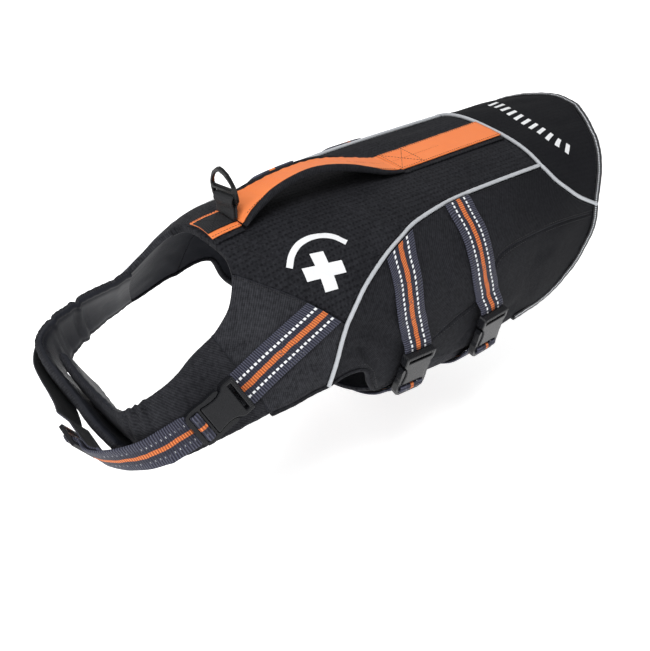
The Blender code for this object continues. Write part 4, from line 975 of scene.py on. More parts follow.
def makeBands():
    for side, word in sides:
        last = len(bandTables[side]) - 1
        s = np.concatenate([[0.015], np.linspace(0.06, last - 0.06, 150), [last - 0.02, last]])
        t = np.concatenate([[0, 0.006, 0.016, 0.03, 0.05], np.linspace(0.075, 0.925, 30),
                            [0.95, 0.97, 0.984, 0.994, 1]])
        sGrid, tGrid = np.meshgrid(s, t, indexing="ij")
        middle, out = bandFrame(side, sGrid, tGrid)
        end = np.clip((last - sGrid) / 0.09, 0.08, 1)**0.5
        end = end * np.clip(sGrid / 0.06, 0.75, 1)
        outer = middle + out * (bandLift(side, sGrid, tGrid, False) * end)[..., None]
        inner = middle - out * (bandLift(side, sGrid, tGrid, True) * end)[..., None]
        run = runAlong(middle[:, len(t) // 2])
        wide = np.linalg.norm(middle[:, -1] - middle[:, 0], axis=-1)
        uv = np.stack([np.broadcast_to(run[:, None], sGrid.shape) * mm,
                       (tGrid - 0.5) * wide[:, None] * mm], -1)
        piece = wallPiece(f"neck_band_{word}", outer, inner,
                          [finishes["band"], finishes["lining"]], uv)
        dressed(piece, "twill_cloth", f"neck_band_{word}")


makeBands()
print("bands ready")

# ---- pipings, hem trim and leg bindings


pipingForm = {"radius": 1.5, "lift": 0.95, "sides": 12, "step": 1.6, "wobble": 0.03}
tapeForm = {"radius": 1.5, "lift": -2.5, "sides": 8, "step": 2.5, "wobble": 0.0}


def roundTube(name, line, start, stop, cloth, s):
    line = spaced(line, int(runLength(line) / s["step"]))[start:stop]
    y, phi = line[:, 0], line[:, 1]
    points, outs = trunk(y, phi, np.full(len(y), s["lift"])), trunkOut(y, phi)
    run = runAlong(points)
    along = unit(np.gradient(points, axis=0))
    out = unit(outs - along * (outs * along).sum(-1, keepdims=True))
    aside = np.cross(along, out)
    angle = np.linspace(0, turn, s["sides"], endpoint=False)
    radius = s["radius"] * (1 + s["wobble"] * np.sin(run * 0.9))[:, None, None]
    rings = points[:, None] + radius * (out[:, None] * np.cos(angle)[None, :, None]
                                        + aside[:, None] * np.sin(angle)[None, :, None])
    return loopTube(name, rings, run, angle * s["radius"], cloth)


def makePipings(s=pipingForm):
    middle = spaced(smoothed(seamLines["arcMiddle"]), middleSteps * 2)
    courses = {f"piping_{word}": (joined(edges[side]["low"], edges[side]["top"]), 1, -1)
               for side, word in sides}
    courses["piping_arc"] = joined(edges[-1]["arc"][::-1], middle, edges[1]["arc"]), 0, None
    for name, course in courses.items():
        dressed(roundTube(name, *course, finishes["piping"], s), "reflective_piping", name)


def makeTapes(s=tapeForm):  # the seam allowance that closes a seam from below
    for side, word in sides:
        for name, start in (("hinge", 0), ("shoulder", 1), ("side", 1)):
            piece = roundTube(f"{name}_tape_{word}", edges[side][name], start, -1,
                              finishes["lining"], s)
            dressed(piece, "lining_cloth")


makePipings()
makeTapes()

# profiles of a folded binding: how far beyond the edge, height over the cloth
trimForm = {"profile": [(-3.3, 0.15), (-3.4, 0.8), (-1.4, 1.5), (0.6, 1.9), (1.8, 1.6), (2.6, 0.4),
                        (2.7, -1.4), (2.5, -3.4), (1.8, -4.9), (0.6, -5.65), (-1.2, -5.8),
                        (-3.1, -5.7), (-3.0, -5.15), (0.1, -4.9), (0.3, -2.5), (0.1, 0.4)],
            "step": 2.0}
bindingForm = {"profile": [(-1.8, 0.0), (-1.9, 0.45), (-0.4, 0.6), (0.9, 0.1), (1.5, -1.0),
                           (1.65, -2.5), (1.5, -4.0), (0.9, -5.1), (-0.4, -5.6), (-1.9, -5.5),
                           (-1.8, -5.0), (0.1, -4.8), (0.3, -2.5), (0.1, -0.3)], "step": 2.0}


def bindingPiece(name, line, side, cloth, slot, s):
    line = spaced(line, int(runLength(line) / s["step"]))
    y, phi = line[:, 0], line[:, 1]
    skin, out = trunkSkin(y, phi), trunkOut(y, phi)
    away = unit(np.cross(np.gradient(skin, axis=0), out)) * side
    profile, run = np.array(s["profile"]), runAlong(skin)
    wave = 0.12 * np.sin(run * 0.83) + 0.1 * np.sin(run * 0.37 + 1)
    rings = (skin[:, None] + away[:, None] * profile[None, :, :1]
             + out[:, None] * (profile[None, :, 1:] + wave[:, None, None]))
    return dressed(loopTube(name, rings, run, runAlong(profile), cloth), slot, name)


def makeBindings():
    hemAll = joined(edges[-1]["hem"], edges[1]["hem"])
    piece = bindingPiece("hem_trim", hemAll, -1, finishes["trim"], "edge_trim", trimForm)
    runLength(hemAll) * mm
    for side, word in sides:
        piece = bindingPiece(f"leg_binding_{word}", edges[side]["leg"], side, finishes["dobby"],
                             "oxford_cloth", bindingForm)
        runLength(edges[side]["leg"]) * mm


makeBindings()
print("edges ready")

# ---- strips along the spine and the grab handle

spineForm = {"baseHalf": 19.0, "stripHalf": 14.5, "patchHalf": 9.5, "layer": 1.0, "gap": 0.35,
             "front": -180.0, "rear": 97.0, "handleRear": -10.0, "patch": 0.9,
             "coreNarrow": 2.6, "stripNarrow": 3.0, "bead": 2.3}
gripShares = [(-156, 0), (-149, 0.15), (-130, 1), (-56, 1), (-26, 0.3), (-12, 0)]
# the handle: y, height of its top, turn about its run, thickness of its core
handleRows = [
    (-155.9, 1.85, 0, 1.2), (-154.6, 2.2, 0, 1.2), (-152.3, 5.2, 0, 1.8), (-148, 8.8, 1, 2.4),
    (-140, 12.2, 5, 2.8), (-128, 16.4, 10, 3.0), (-114, 19.6, 13, 3.0), (-98, 21.3, 14, 3.0),
    (-84, 21.0, 11, 3.0), (-70, 19.0, 7, 3.0), (-56, 15.6, 4, 3.0), (-42, 11.2, 2, 2.8),
    (-30, 7.2, 0, 2.4), (-20, 4.2, 0, 1.8), (-14, 3.0, 0, 1.2), (-11, 2.95, 0, 1.2),
]


def flatProfile(half, low, high, soft, count=11):  # a loop round a soft-edged band
    soft = min(soft, (high - low) * 0.48)
    bend = np.linspace(0, np.pi / 2, 4)
    upper = np.stack([half - soft + soft * np.sin(bend), high - soft + soft * np.cos(bend)], -1)
    lower = np.stack([half - soft + soft * np.cos(bend), low + soft - soft * np.sin(bend)], -1)
    span = np.linspace(-half + soft, half - soft, count)[1:-1]
    top, bottom = np.stack([span, span * 0 + high], -1), np.stack([-span, span * 0 + low], -1)
    return np.concatenate([top, upper, lower, bottom, lower[::-1] * (-1, 1), upper[::-1] * (-1, 1)])


def spineAngle(y, x):  # the angle at a distance across from the spine
    low, high = np.zeros_like(x), np.full_like(x, 60.0)
    crown = trunkSkin(y, 0.0)
    for _ in range(22):
        middle = (low + high) / 2
        short = np.linalg.norm(trunkSkin(y, middle) - crown, axis=-1) < np.abs(x)
        low, high = np.where(short, middle, low), np.where(short, high, middle)
    return np.where(x < 0, -low, low)


def spinePiece(name, yFront, yRear, half, lift, thick, cloth, slot, soft=0.3):
    profile = flatProfile(half, 0, thick, soft)
    y = np.linspace(yFront, yRear, int(abs(yRear - yFront) / 2.2) + 2)
    yGrid, x = np.broadcast_arrays(y[:, None], profile[None, :, 0])
    spot = trunkSkin(yGrid, spineAngle(yGrid, x.copy()))
    bow = puckers(spot) * 0.35 * (profile[None, :, 1] > thick / 2)
    spot = spot + np.array([0, 0, 1.0]) * (lift + profile[None, :, 1] + bow)[..., None]
    piece = dressed(loopTube(name, spot, y, profile[:, 0], cloth), slot, name)
    abs(yRear - yFront) * mm
    return piece


def handleFrames(count=110):
    keyed = np.array(handleRows)
    run = spaced(smoothed(keyed), count,
                 lambda p: np.stack([np.zeros(len(p)), p[:, 0], p[:, 1]], -1))
    y, z, tilt, core = run.T
    middle = np.stack([np.zeros(len(y)), y, z + liningHeight], -1)
    slope = unit(np.gradient(middle, axis=0))
    up = np.stack([np.zeros(len(y)), -slope[:, 2], slope[:, 1]], -1)
    a = np.radians(tilt)[:, None]
    xAxis = np.array([1.0, 0, 0])
    across = xAxis * np.cos(a) + up * np.sin(a)
    return middle, across, up * np.cos(a) - xAxis * np.sin(a), core


def makeSpine(s=spineForm):
    base, strip = s["gap"], s["gap"] * 2 + s["layer"]
    patchLift = strip + s["layer"] + 0.15
    foot = handleRows[0][0] - 0.6
    for word, y0, y1 in (("front", s["front"], foot), ("rear", s["handleRear"], s["rear"])):
        spinePiece(f"base_{word}", y0, y1, s["baseHalf"], base, s["layer"], finishes["dobby"],
                   "oxford_cloth")
        spinePiece(f"strip_{word}", y0, y1, s["stripHalf"], strip, s["layer"], finishes["orange"],
                   "orange_cloth")
    spinePiece("ring_patch", s["front"] - 0.5, foot, s["patchHalf"], patchLift, s["patch"],
               finishes["web"], "black_webbing")
    middle, across, up, core = handleFrames()
    under = -s["layer"] - s["gap"]
    run = runAlong(middle)
    grip = np.interp(middle[:, 1], *np.array(gripShares).T)
    for name, cloth, slot in (("handle_core", finishes["plain"], "oxford_cloth"),
                              ("handle_strip", finishes["orange"], "orange_cloth")):
        rings = []
        for k in range(len(middle)):
            inner = s["stripHalf"] - s["stripNarrow"] * grip[k]
            if name == "handle_core":
                half = s["baseHalf"] - s["coreNarrow"] * grip[k]
                profile = flatProfile(half, under - core[k], under, 1.6, 45)
                beadShare = np.clip((np.abs(profile[:, 0]) - inner - 0.2) / (half - inner), 0, 1)
                rise = s["bead"] * (0.35 + 0.65 * grip[k])
                bead = rise * np.sqrt(np.sin(beadShare * np.pi * 0.92))
                profile[:, 1] += np.where(profile[:, 1] > under - 1.7, bead, 0)
            else:
                half = inner
                crease = 0.28 * math.sin(run[k] * 0.62) * math.sin(run[k] * 0.171 + 1)
                profile = flatProfile(half, under + s["gap"], crease, 0.35)
            rings.append(middle[k] + across[k] * profile[:, :1] + up[k] * profile[:, 1:])
        piece = dressed(loopTube(name, np.array(rings), run, profile[:, 0], cloth), slot, name)


makeSpine()

# ---- leash ring loop

ringForm = {"y": -158.5, "height": 15.5, "yaw": 12.0, "loopHalf": 8.7, "footHalf": 10.5,
            "thick": 1.6, "soft": 0.6}
# half of the loop's run: ahead of the ring's axis and over it
loopRun = [(1.35, -11.9), (1.35, -8), (1.5, -5.2), (2.5, -2.9), (3.35, -0.6), (2.9, 1.8),
           (1.5, 3.1), (0, 3.5)]


def makeLoop(s=ringForm):
    yaw = math.radians(s["yaw"])
    rows = smoothed(loopRun + [(-f, h) for f, h in loopRun[-2::-1]], 5)
    middle = np.array([0, s["y"], s["height"] + liningHeight])
    rings = []
    slopes = np.gradient(rows, axis=0)
    for (off, height), (da, db) in zip(rows, slopes):
        share = min(max(1 - height / loopRun[0][1], 0.0), 1.0)
        half = s["footHalf"] + (s["loopHalf"] - s["footHalf"]) * min(share * 1.6, 1.0)
        side = np.array([math.cos(yaw * share), math.sin(yaw * share), 0])
        front = np.array([math.sin(yaw * share), -math.cos(yaw * share), 0])
        along = unit(front * da + np.array([0, 0, 1.0]) * db)
        out = np.cross(side, along)
        profile = flatProfile(half, -s["thick"] / 2, s["thick"] / 2, s["soft"])
        centre = middle + front * off + np.array([0, 0, height])
        rings.append(centre + side * profile[:, :1] + out * profile[:, 1:])
    rings = np.array(rings)
    piece = loopTube("ring_loop", rings, runAlong(rings.mean(1)), profile[:, 0], finishes["web"])
    dressed(piece, "black_webbing", "ring_loop")


makeLoop()
print("handle and loop ready")

# ---- webbing straps

strapForm = {"width": 25.0, "thick": 1.8, "lift": 0.7, "columns": 15, "step": 1.6}
strapShares = (-1, -0.5, 0, 0.5, 1)
bellyStraps = {
    "front": {"path": [(-60, 34), (-65, 42), (-69, 50), (-71, 60), (-73, 70), (-73, 78), (-70, 87),
                       (-72, 90.5)],
              "starts": (0.0042, 0.0667, 0.1375, 0.2, 0.2542), "begin": 122,
              "ends": (1.0, 0.9792, 0.9583, 0.9417, 0.925)},
    "rear": {"path": [(3.5, 24), (2, 32), (0, 40), (0, 52), (0, 64), (1, 76), (5, 85), (6.5, 90.5)],
             "starts": (0.0792, 0.0875, 0.1, 0.1167, 0.1375), "begin": 119,
             "ends": (0.975, 0.9708, 0.9708, 0.9625, 0.9583)},
}
neckStrap = {"path": [(-124, 54.5), (-133, 57), (-142, 58.6), (-151, 59.9), (-161, 61),
                      (-174, 61.9), (-185, 62.2), (-198, 62.7), (-208, 63.1)],
             1: (0.1417, 0.1667, 0.1917, 0.2208, 0.25),
             -1: (0.2458, 0.2167, 0.1917, 0.1625, 0.1375),
             "rise": 1.3}
# the free run round the chest: x, y, z of its middle line, how far its face tips up
chestRun = [(80, -265.5, -97.5, 9), (73, -276, -103, -8), (62, -285.5, -108.5, -22),
            (51, -291, -113, -31), (43, -293.5, -115.5, -35), (37, -294.5, -117, -36)]
chestRunRight = [(-87.5, -222.5, -84, 28), (-87.4, -238, -87.5, 25), (-84.6, -253.8, -91.5, 19),
                 (-77.4, -267.4, -96, -3), (-66.6, -278.2, -99.8, -20), (-53.8, -284.2, -103, -34),
                 (-37, -286.8, -105, -39), (-20, -288.5, -106.5, -41), (-6, -291.4, -107.2, -38),
                 (3, -294.2, -108, -36)]
# webbing through a plug and over the slider: how far along, height, half width
plugWeb = [(31.7, 1.2, 10.5), (31.7, 5.4, 10.5), (32.2, 6.9, 10.5), (34, 7.4, 10.5),
           (35.8, 6.9, 10.5), (36.3, 5.4, 10.5), (36.3, 1.8, 10.5), (37.4, -0.4, 10.5),
           (39.5, -1.0, 11.3), (42.2, -1.6, 12.5)]
sliderWeb = [(-8.5, -1.7), (-6.2, -1.5), (-4.4, -0.6), (-3.5, 0.8), (-3.4, 2.3), (-2.7, 3.8),
             (-1.2, 4.3), (1.2, 4.3), (2.7, 3.8), (3.4, 2.3), (3.5, 0.7)]
tailStations, tailDepth, tailInset = (9.0, 0.0, -9.0), -4.4, 2.8
# where each moulding lies: origin, then directions across, along and out
plasticFrames = {
    "front": ((103.53, -71.17, -82.63), (-0.0136, -0.9996, 0.0259), (-0.2885, -0.0209, -0.9573),
              (0.9574, -0.0205, -0.2881)),
    "rear": ((100.73, 6.76, -81.32), (0.0747, -0.9969, -0.0244), (-0.2568, 0.0044, -0.9664),
             (0.9636, 0.0784, -0.2557)),
    "neck": ((87.59, -211.21, -65.53), (-0.3579, -0.4013, 0.8431), (-0.0629, -0.8906, -0.4505),
             (0.9316, -0.2142, 0.2935)),
    "slider": ((19.74, -295.74, -107.44), (0.2045, -0.5754, 0.7919), (-0.9667, 0.0085, 0.2559),
               (-0.154, -0.8179, -0.5544)),
}
columns = np.concatenate([[-1, -0.97], np.linspace(-0.9, 0.9, strapForm["columns"] - 4), [0.97, 1]])


def inFrame(name, points):
    origin, x, y, z = (np.array(v) for v in plasticFrames[name])
    points = np.asarray(points, float)
    return origin + points[..., :1] * x + points[..., 1:2] * y + points[..., 2:] * z


def trunkSteps(y, phi):  # how the skin moves with each of its two measures
    return (trunkSkin(y + 0.5, phi) - trunkSkin(y - 0.5, phi),
            trunkSkin(y, phi + 0.5) - trunkSkin(y, phi - 0.5))


def shifted(y, phi, step):  # the place that lies a step away over the trunk
    byY, byPhi = trunkSteps(y, phi)
    yy, yp, pp = (byY * byY).sum(-1), (byY * byPhi).sum(-1), (byPhi * byPhi).sum(-1)
    wy, wp = (step * byY).sum(-1), (step * byPhi).sum(-1)
    size = yy * pp - yp * yp
    return y + (wy * pp - wp * yp) / size, phi + (wp * yy - wy * yp) / size


def strapPlace(path, t, across):  # share along the path and distance across it
    here, before, after = (at(path, np.clip(share, 0, 1)) for share in (t, t - 0.02, t + 0.02))
    y, phi = here[..., 0], here[..., 1]
    run = unit(trunkSkin(after[..., 0], after[..., 1]) - trunkSkin(before[..., 0], before[..., 1]))
    byY, byPhi = trunkSteps(y, phi)
    side = unit(np.cross(run, np.cross(byPhi, byY)))
    return shifted(y, phi, side * across[..., None])


def strapSheets(path, starts, ends, rise=0.0, s=strapForm):  # lower and upper faces on the trunk
    starts, ends = np.interp(columns, strapShares, starts), np.interp(columns, strapShares, ends)
    steps = int(runLength(path) / s["step"])
    share = np.linspace(0, 1, steps + 1)[:, None]
    t = starts + (ends - starts) * share
    y, phi = strapPlace(path, t, np.broadcast_to(columns * s["width"] / 2, t.shape))
    skin, out = trunkSkin(y, phi), trunkOut(y, phi)
    lift = s["lift"] + rise * share**3 + 0.12 * np.sin(share * 21) * np.sin(share * np.pi)
    lift = np.broadcast_to(lift, t.shape)
    return skin + out * lift[..., None], skin + out * (lift + s["thick"])[..., None]


def sheetsAlong(middle, side, out, halves=None, s=strapForm):
    if halves is None:
        halves = np.full(len(middle), s["width"] / 2)
    spots = middle[:, None] + side[:, None] * (columns[None, :] * halves[:, None])[..., None]
    half = out[:, None] * s["thick"] / 2
    return spots - half, spots + half


def freeSheets(rows, sign, inset=0.0, sink=0.0):
    rows = smoothed(rows, 7)
    middle = rows[:, :3] + (0, 0, liningHeight)
    run = unit(np.gradient(middle, axis=0))
    flat = unit(np.stack([run[:, 1], -run[:, 0], np.zeros(len(run))], -1)) * sign
    tip = np.radians(rows[:, 3:])
    out = flat * np.cos(tip) + np.array([0, 0, 1.0]) * np.sin(tip)
    out = unit(out - run * (out * run).sum(-1, keepdims=True))
    side = np.cross(run, out)
    middle = middle - out * inset + side * (sink * np.linspace(0, 1, len(run)))[:, None]
    return sheetsAlong(middle, side, out)


def frameSheets(name, rows):
    rows = smoothed(rows, 4)
    slope = unit(np.gradient(rows[:, :2], axis=0))
    middle = inFrame(name, np.column_stack([np.zeros(len(rows)), rows[:, :2]]))
    _, x, y, z = (np.array(v) for v in plasticFrames[name])
    out = y * -slope[:, 1:] + z * slope[:, :1]
    halves = rows[:, 2] if rows.shape[1] > 2 else None
    return sheetsAlong(middle, np.broadcast_to(x, middle.shape), out, halves)


def straightSheets(name, spots, sign=1):  # a strap's straight run before or under a moulding
    middle = inFrame(name, spots)
    _, x, _, z = (np.broadcast_to(v, middle.shape) for v in plasticFrames[name])
    return sheetsAlong(middle, sign * x, z)


def webbingPiece(name, sheets, cloth, backing=None):
    low, high = (np.concatenate(faces) for faces in zip(*sheets))
    heights = np.ones(len(columns))
    heights[[0, -1]], heights[[1, -2]] = 0.5, 0.86
    top = low + (high - low) * heights[None, :, None]
    bottom = low + (high - low) * (1 - heights)[None, :, None]
    rings = np.concatenate([top, bottom[:, -2:0:-1]], axis=1)
    centre = (low + high)[:, len(columns) // 2] / 2
    across = np.concatenate([columns, columns[-2:0:-1]]) * strapForm["width"] / 2
    piece = loopTube(name, rings, runAlong(centre), across, cloth)
    if backing:
        piece.data.materials.append(backing)
        size = rings.shape[1]
        for k in range((len(rings) - 1) * size):
            piece.data.polygons[k].material_index = int(k % size >= len(columns) - 1)
    return dressed(piece, "striped_webbing", name)


strapPaths = {}


def makeStraps():
    for place, s in bellyStraps.items():
        path = spaced(smoothed(s["path"]), 60)
        strapPaths[place] = path
        webbingPiece(f"belly_strap_{place}",
                     [strapSheets(path, s["starts"], [0.85] * 5),
                      straightSheets(place, [(0, -4.5, -0.7), (0, -0.6, 1.2)])], finishes["face"])
        yEnd, begin = s["path"][-1][0], s["begin"]
        way = [(yEnd, phi) for phi in (begin, begin + 12, 150, 180, 210, 250)]
        way += [(y, 360 - phi) for y, phi in s["path"][:-1]][::-1]
        way = spaced(smoothed(way), 120)
        webbingPiece(f"belly_web_{place}", [frameSheets(place, plugWeb),
                                            strapSheets(way, [0.0] * 5, s["ends"])],
                     finishes["back"])
    for side, word in sides:
        path = spaced(smoothed([(y, side * phi) for y, phi in neckStrap["path"]]), 60)
        strapPaths[side] = path
        sheets = [strapSheets(path, neckStrap[side], [1.0] * 5, neckStrap["rise"])]
        if side < 0:
            low, high = freeSheets(chestRun[-1:-4:-1], 1, tailInset, 2.0)
            sheets += [freeSheets(chestRunRight, 1),
                       straightSheets("slider", [(0, y, tailDepth) for y in tailStations], -1),
                       (low[4:-3], high[4:-3])]
        else:
            sheets.append(straightSheets("neck", [(0, -0.6, 1.2)]))
        webbingPiece(f"neck_strap_{word}", sheets, finishes["face"],
                     finishes["web"] if side < 0 else None)
    webbingPiece("chest_web", [frameSheets("neck", plugWeb), freeSheets(chestRun, -1),
                               frameSheets("slider", sliderWeb)], finishes["back"])


makeStraps()
print("straps ready")

# ---- repeated pieces: one shape set along lines, for stitches and ribs


def rowTree():
    tree = bpy.data.node_groups.new("setAlongLines", "GeometryNodeTree")
    ports = {}
    for name, kind in (("Geometry", "NodeSocketGeometry"), ("Pitch", "NodeSocketFloat"),
                       ("Size", "NodeSocketVector"), ("Finish", "NodeSocketMaterial")):
        ports[name] = tree.interface.new_socket(name, in_out="INPUT", socket_type=kind).identifier
    tree.interface.new_socket("Geometry", in_out="OUTPUT", socket_type="NodeSocketGeometry")

    def node(kind, **settings):
        made = tree.nodes.new(kind)
        for key, value in settings.items():
            setattr(made, key, value)
        return made

    enter, leave = node("NodeGroupInput"), node("NodeGroupOutput")
    curve = node("GeometryNodeMeshToCurve")
    resample = node("GeometryNodeResampleCurve", mode="LENGTH")
    bead = node("GeometryNodeMeshUVSphere")
    bead.inputs["Segments"].default_value, bead.inputs["Rings"].default_value = 6, 4
    bead.inputs["Radius"].default_value = 0.5
    tangent, up = node("GeometryNodeInputTangent"), node("GeometryNodeInputNamedAttribute")
    up.data_type = "FLOAT_VECTOR"
    up.inputs["Name"].default_value = "up"
    first = node("FunctionNodeAlignRotationToVector", axis="X")
    second = node("FunctionNodeAlignRotationToVector", axis="Z", pivot_axis="X")
    copies, real = node("GeometryNodeInstanceOnPoints"), node("GeometryNodeRealizeInstances")
    paint = node("GeometryNodeSetMaterial")
    link = tree.links.new
    link(enter.outputs["Geometry"], curve.inputs[0])
    link(curve.outputs[0], resample.inputs["Curve"])
    link(enter.outputs["Pitch"], resample.inputs["Length"])
    link(resample.outputs[0], copies.inputs["Points"])
    link(bead.outputs["Mesh"], copies.inputs["Instance"])
    link(tangent.outputs[0], first.inputs["Vector"])
    link(first.outputs[0], second.inputs["Rotation"])
    link(up.outputs["Attribute"], second.inputs["Vector"])
    link(second.outputs[0], copies.inputs["Rotation"])
    link(enter.outputs["Size"], copies.inputs["Scale"])
    link(copies.outputs[0], real.inputs[0])
    link(real.outputs[0], paint.inputs["Geometry"])
    link(enter.outputs["Finish"], paint.inputs["Material"])
    link(paint.outputs[0], leave.inputs[0])
    return tree, ports


rowGroup, rowPorts = rowTree()


def rowPiece(name, runs, pitch, size, cloth, slot):
    points, ups, lineEdges, start = [], [], [], 0
    for spots, outs in runs:
        points.append(spots)
        ups.append(np.broadcast_to(outs, spots.shape))
        lineEdges += [(start + k, start + k + 1) for k in range(len(spots) - 1)]
        start += len(spots)
    mesh = bpy.data.meshes.new(name + "Lines")
    mesh.from_pydata((np.concatenate(points) * mm).tolist(), lineEdges, [])
    up = mesh.attributes.new("up", "FLOAT_VECTOR", "POINT")
    up.data.foreach_set("vector", np.concatenate(ups).astype(float).ravel())
    holder = bpy.data.objects.new(name + "Lines", mesh)
    bpy.context.scene.collection.objects.link(holder)
    modifier = holder.modifiers.new("row", "NODES")
    modifier.node_group = rowGroup
    modifier[rowPorts["Pitch"]] = pitch * mm
    modifier[rowPorts["Size"]] = [v * mm for v in size]
    modifier[rowPorts["Finish"]] = cloth
    holder.update_tag()
    graph = bpy.context.evaluated_depsgraph_get()
    made = bpy.data.meshes.new_from_object(holder.evaluated_get(graph))
    made.name = camel(name)
    made.shade_smooth()
    piece = bpy.data.objects.new(camel(name), made)
    bpy.context.scene.collection.objects.link(piece)
    holder.modifiers.clear()
    bpy.data.objects.remove(holder)
    return dressed(piece, slot)


stitch = {"pitch": 2.7, "size": (2.0, 0.45, 0.34)}


def clothRun(places, lift=0.1, step=1.3):  # a stitch line on the trunk's cloth
    places = np.asarray(places, float)
    line = spaced(smoothed(places, 6), max(int(runLength(places) / step), 2))
    return printed(line[:, 0], line[:, 1], lift), trunkOut(line[:, 0], line[:, 1])


def offsetLine(line, distance):  # the same line moved sideways over the trunk
    y, phi = line[:, 0], line[:, 1]
    along = unit(np.gradient(trunkSkin(y, phi), axis=0))
    return np.column_stack(shifted(y, phi, np.cross(along, trunkOut(y, phi)) * distance))


# stitch lines beside the seams: seam, distance, places left out at each end, lift
seamRuns = [("shoulder", 2.4, 2, 0.1), ("side", 2.4, 2, 0.1), ("side", -2.4, 2, 0.1),
            ("hem", 4.6, 3, 0.1), ("leg", -4.0, 3, 0.1)]
seamRuns += [(name, distance, 2, 0.0) for name in ("low", "top", "arc") for distance in (2.9, -2.9)]


def makeSeamStitches(s=stitch):
    runs = []
    for side, _ in sides:
        for name, distance, out, lift in seamRuns:
            line = offsetLine(edges[side][name], distance if name == "hem" else distance * side)
            runs.append(clothRun(line[out:-out][::4], lift))
    rowPiece("seam_stitches", runs, s["pitch"], s["size"], finishes["black"], "oxford_cloth")


def bandRun(side, s, t, out=1.0):
    s, t = np.broadcast_arrays(s, t)
    middle, normal = bandFrame(side, s, t)
    lift = bandLift(side, s, t, out < 0)
    return middle + normal * (lift * out + 0.1 * out)[:, None], normal * out


def makeBandStitches(b=bandForm):
    runs = []
    for side, _ in sides:
        last = len(bandTables[side]) - 1
        along = np.linspace(0.15, last - 0.15, int((last - 0.3) * 16) + 2)
        runs += [bandRun(side, along, t, out) for t in (b["stitch"], 1 - b["stitch"])
                 for out in (1.0, -1.0)]
        runs.append(bandRun(side, last - 0.16, np.linspace(0.1, 0.9, 30)))
    rowPiece("band_stitches", runs, stitch["pitch"], stitch["size"], finishes["black"],
             "twill_cloth")


def flatStitches(y0, y1, x0, x1, lift):  # a straight run over the strips on the spine
    share = np.linspace(0, 1, max(int(math.hypot(y1 - y0, x1 - x0) / 1.4), 3))
    y, x = y0 + (y1 - y0) * share, x0 + (x1 - x0) * share
    spots = trunkSkin(y, spineAngle(y, x)) + np.array([0, 0, lift])
    return spots, np.broadcast_to(np.array([0, 0, 1.0]), spots.shape)


def handleStitches(x, start, stop, lift=0.1):  # a run over the handle between two shares
    middle, across, up, _ = handleFrames()
    a, b = int(start * (len(middle) - 1)), int(stop * (len(middle) - 1)) + 1
    return (middle + across * x + up * lift)[a:b], up[a:b]


# stitches on the strips: inset from the edge, places of the boxes, half width of the patch's one
spineSewing = {"inset": 1.3, "baseEdge": 17.4, "box": (-8.5, 13.5), "middle": 0.6, "stop": 40,
               "rearFrom": 14, "frontTo": -158,
               "handle": (0.06, 0.97), "handleMiddle": (0.72, 0.97),
               "patch": (-177.5, -161.5), "patchHalf": 8.3, "pitch": 2.3,
               "size": (1.75, 0.5, 0.36), "fine": (1.6, 0.4, 0.3)}


def boxed(y0, y1, half, lift):  # a stitched cross from corner to corner
    return [flatStitches(y0, y1, x, -x, lift) for x in (-half, half)]


def makeSpineStitches(s=spineForm, w=spineSewing):
    top = s["gap"] * 2 + s["layer"] * 2 + 0.12
    low = s["gap"] + s["layer"] + 0.1
    patchTop = s["gap"] * 3 + s["layer"] * 2 + s["patch"] + 0.1
    edge, (y0, y1) = s["stripHalf"] - w["inset"], w["box"]
    dark = []
    for x in (edge, -edge):
        dark += [flatStitches(w["rearFrom"], s["rear"] - 2, x, x, top),
                 handleStitches(x, *w["handle"]),
                 flatStitches(s["front"] + 1, w["frontTo"], x, x, top)]
    for x in (w["baseEdge"], -w["baseEdge"]):
        dark.append(flatStitches(s["handleRear"] + 2, s["rear"] - 1, x, x, low))
    dark += [flatStitches(y, y, -edge, edge, top) for y in w["box"]] + boxed(y0, y1, edge, top)
    dark += [flatStitches(y0, y1, x, x, top) for x in (-edge, edge)]
    a, b, half = *w["patch"], w["patchHalf"]
    dark += [flatStitches(y, y, -half, half, patchTop) for y in (a, b)]
    dark += [flatStitches(a, b, x, x, patchTop) for x in (-half, half)]
    dark += boxed(a, b, half, patchTop)
    rust = [flatStitches(y0, w["stop"], w["middle"], w["middle"], top),
            handleStitches(0.4, *w["handleMiddle"])]
    rowPiece("spine_stitches", dark, w["pitch"], w["size"], finishes["black"], "orange_cloth")
    rowPiece("spine_thread", rust, w["pitch"], w["fine"], finishes["rust"], "orange_cloth")


strapSewing = {"half": 9.8, "points": 12, "lift": 0.08, "pitch": 2.1, "size": (1.7, 0.5, 0.36),
               "boxes": {"front": (0.44, 0.72), "rear": (0.50, 0.74), 1: (0.50, 0.76),
                         -1: (0.50, 0.76)}}


def strapStitches(path, corners, s=strapSewing):  # a run over a strap through its corners
    runs = []
    lift = np.full(s["points"], strapForm["lift"] + strapForm["thick"] + s["lift"])
    for (t0, x0), (t1, x1) in zip(corners, corners[1:]):
        y, phi = strapPlace(path, np.linspace(t0, t1, s["points"]),
                            np.linspace(x0, x1, s["points"]))
        runs.append((trunk(y, phi, lift), trunkOut(y, phi)))
    return runs


def makeStrapStitches(s=strapSewing):
    runs, w = [], s["half"]
    for place, (a, b) in s["boxes"].items():
        runs += strapStitches(strapPaths[place],
                              [(a, -w), (b, -w), (b, w), (a, w), (a, -w), (b, w)])
        runs += strapStitches(strapPaths[place], [(a, w), (b, -w)])
    rowPiece("strap_stitches", runs, s["pitch"], s["size"], finishes["grey"], "striped_webbing")


makeSeamStitches()
makeBandStitches()
makeSpineStitches()
makeStrapStitches()
print("stitches ready")

# ---- reflective prints: a plain cross, a plain curved bar over it, slanted bars across the tail

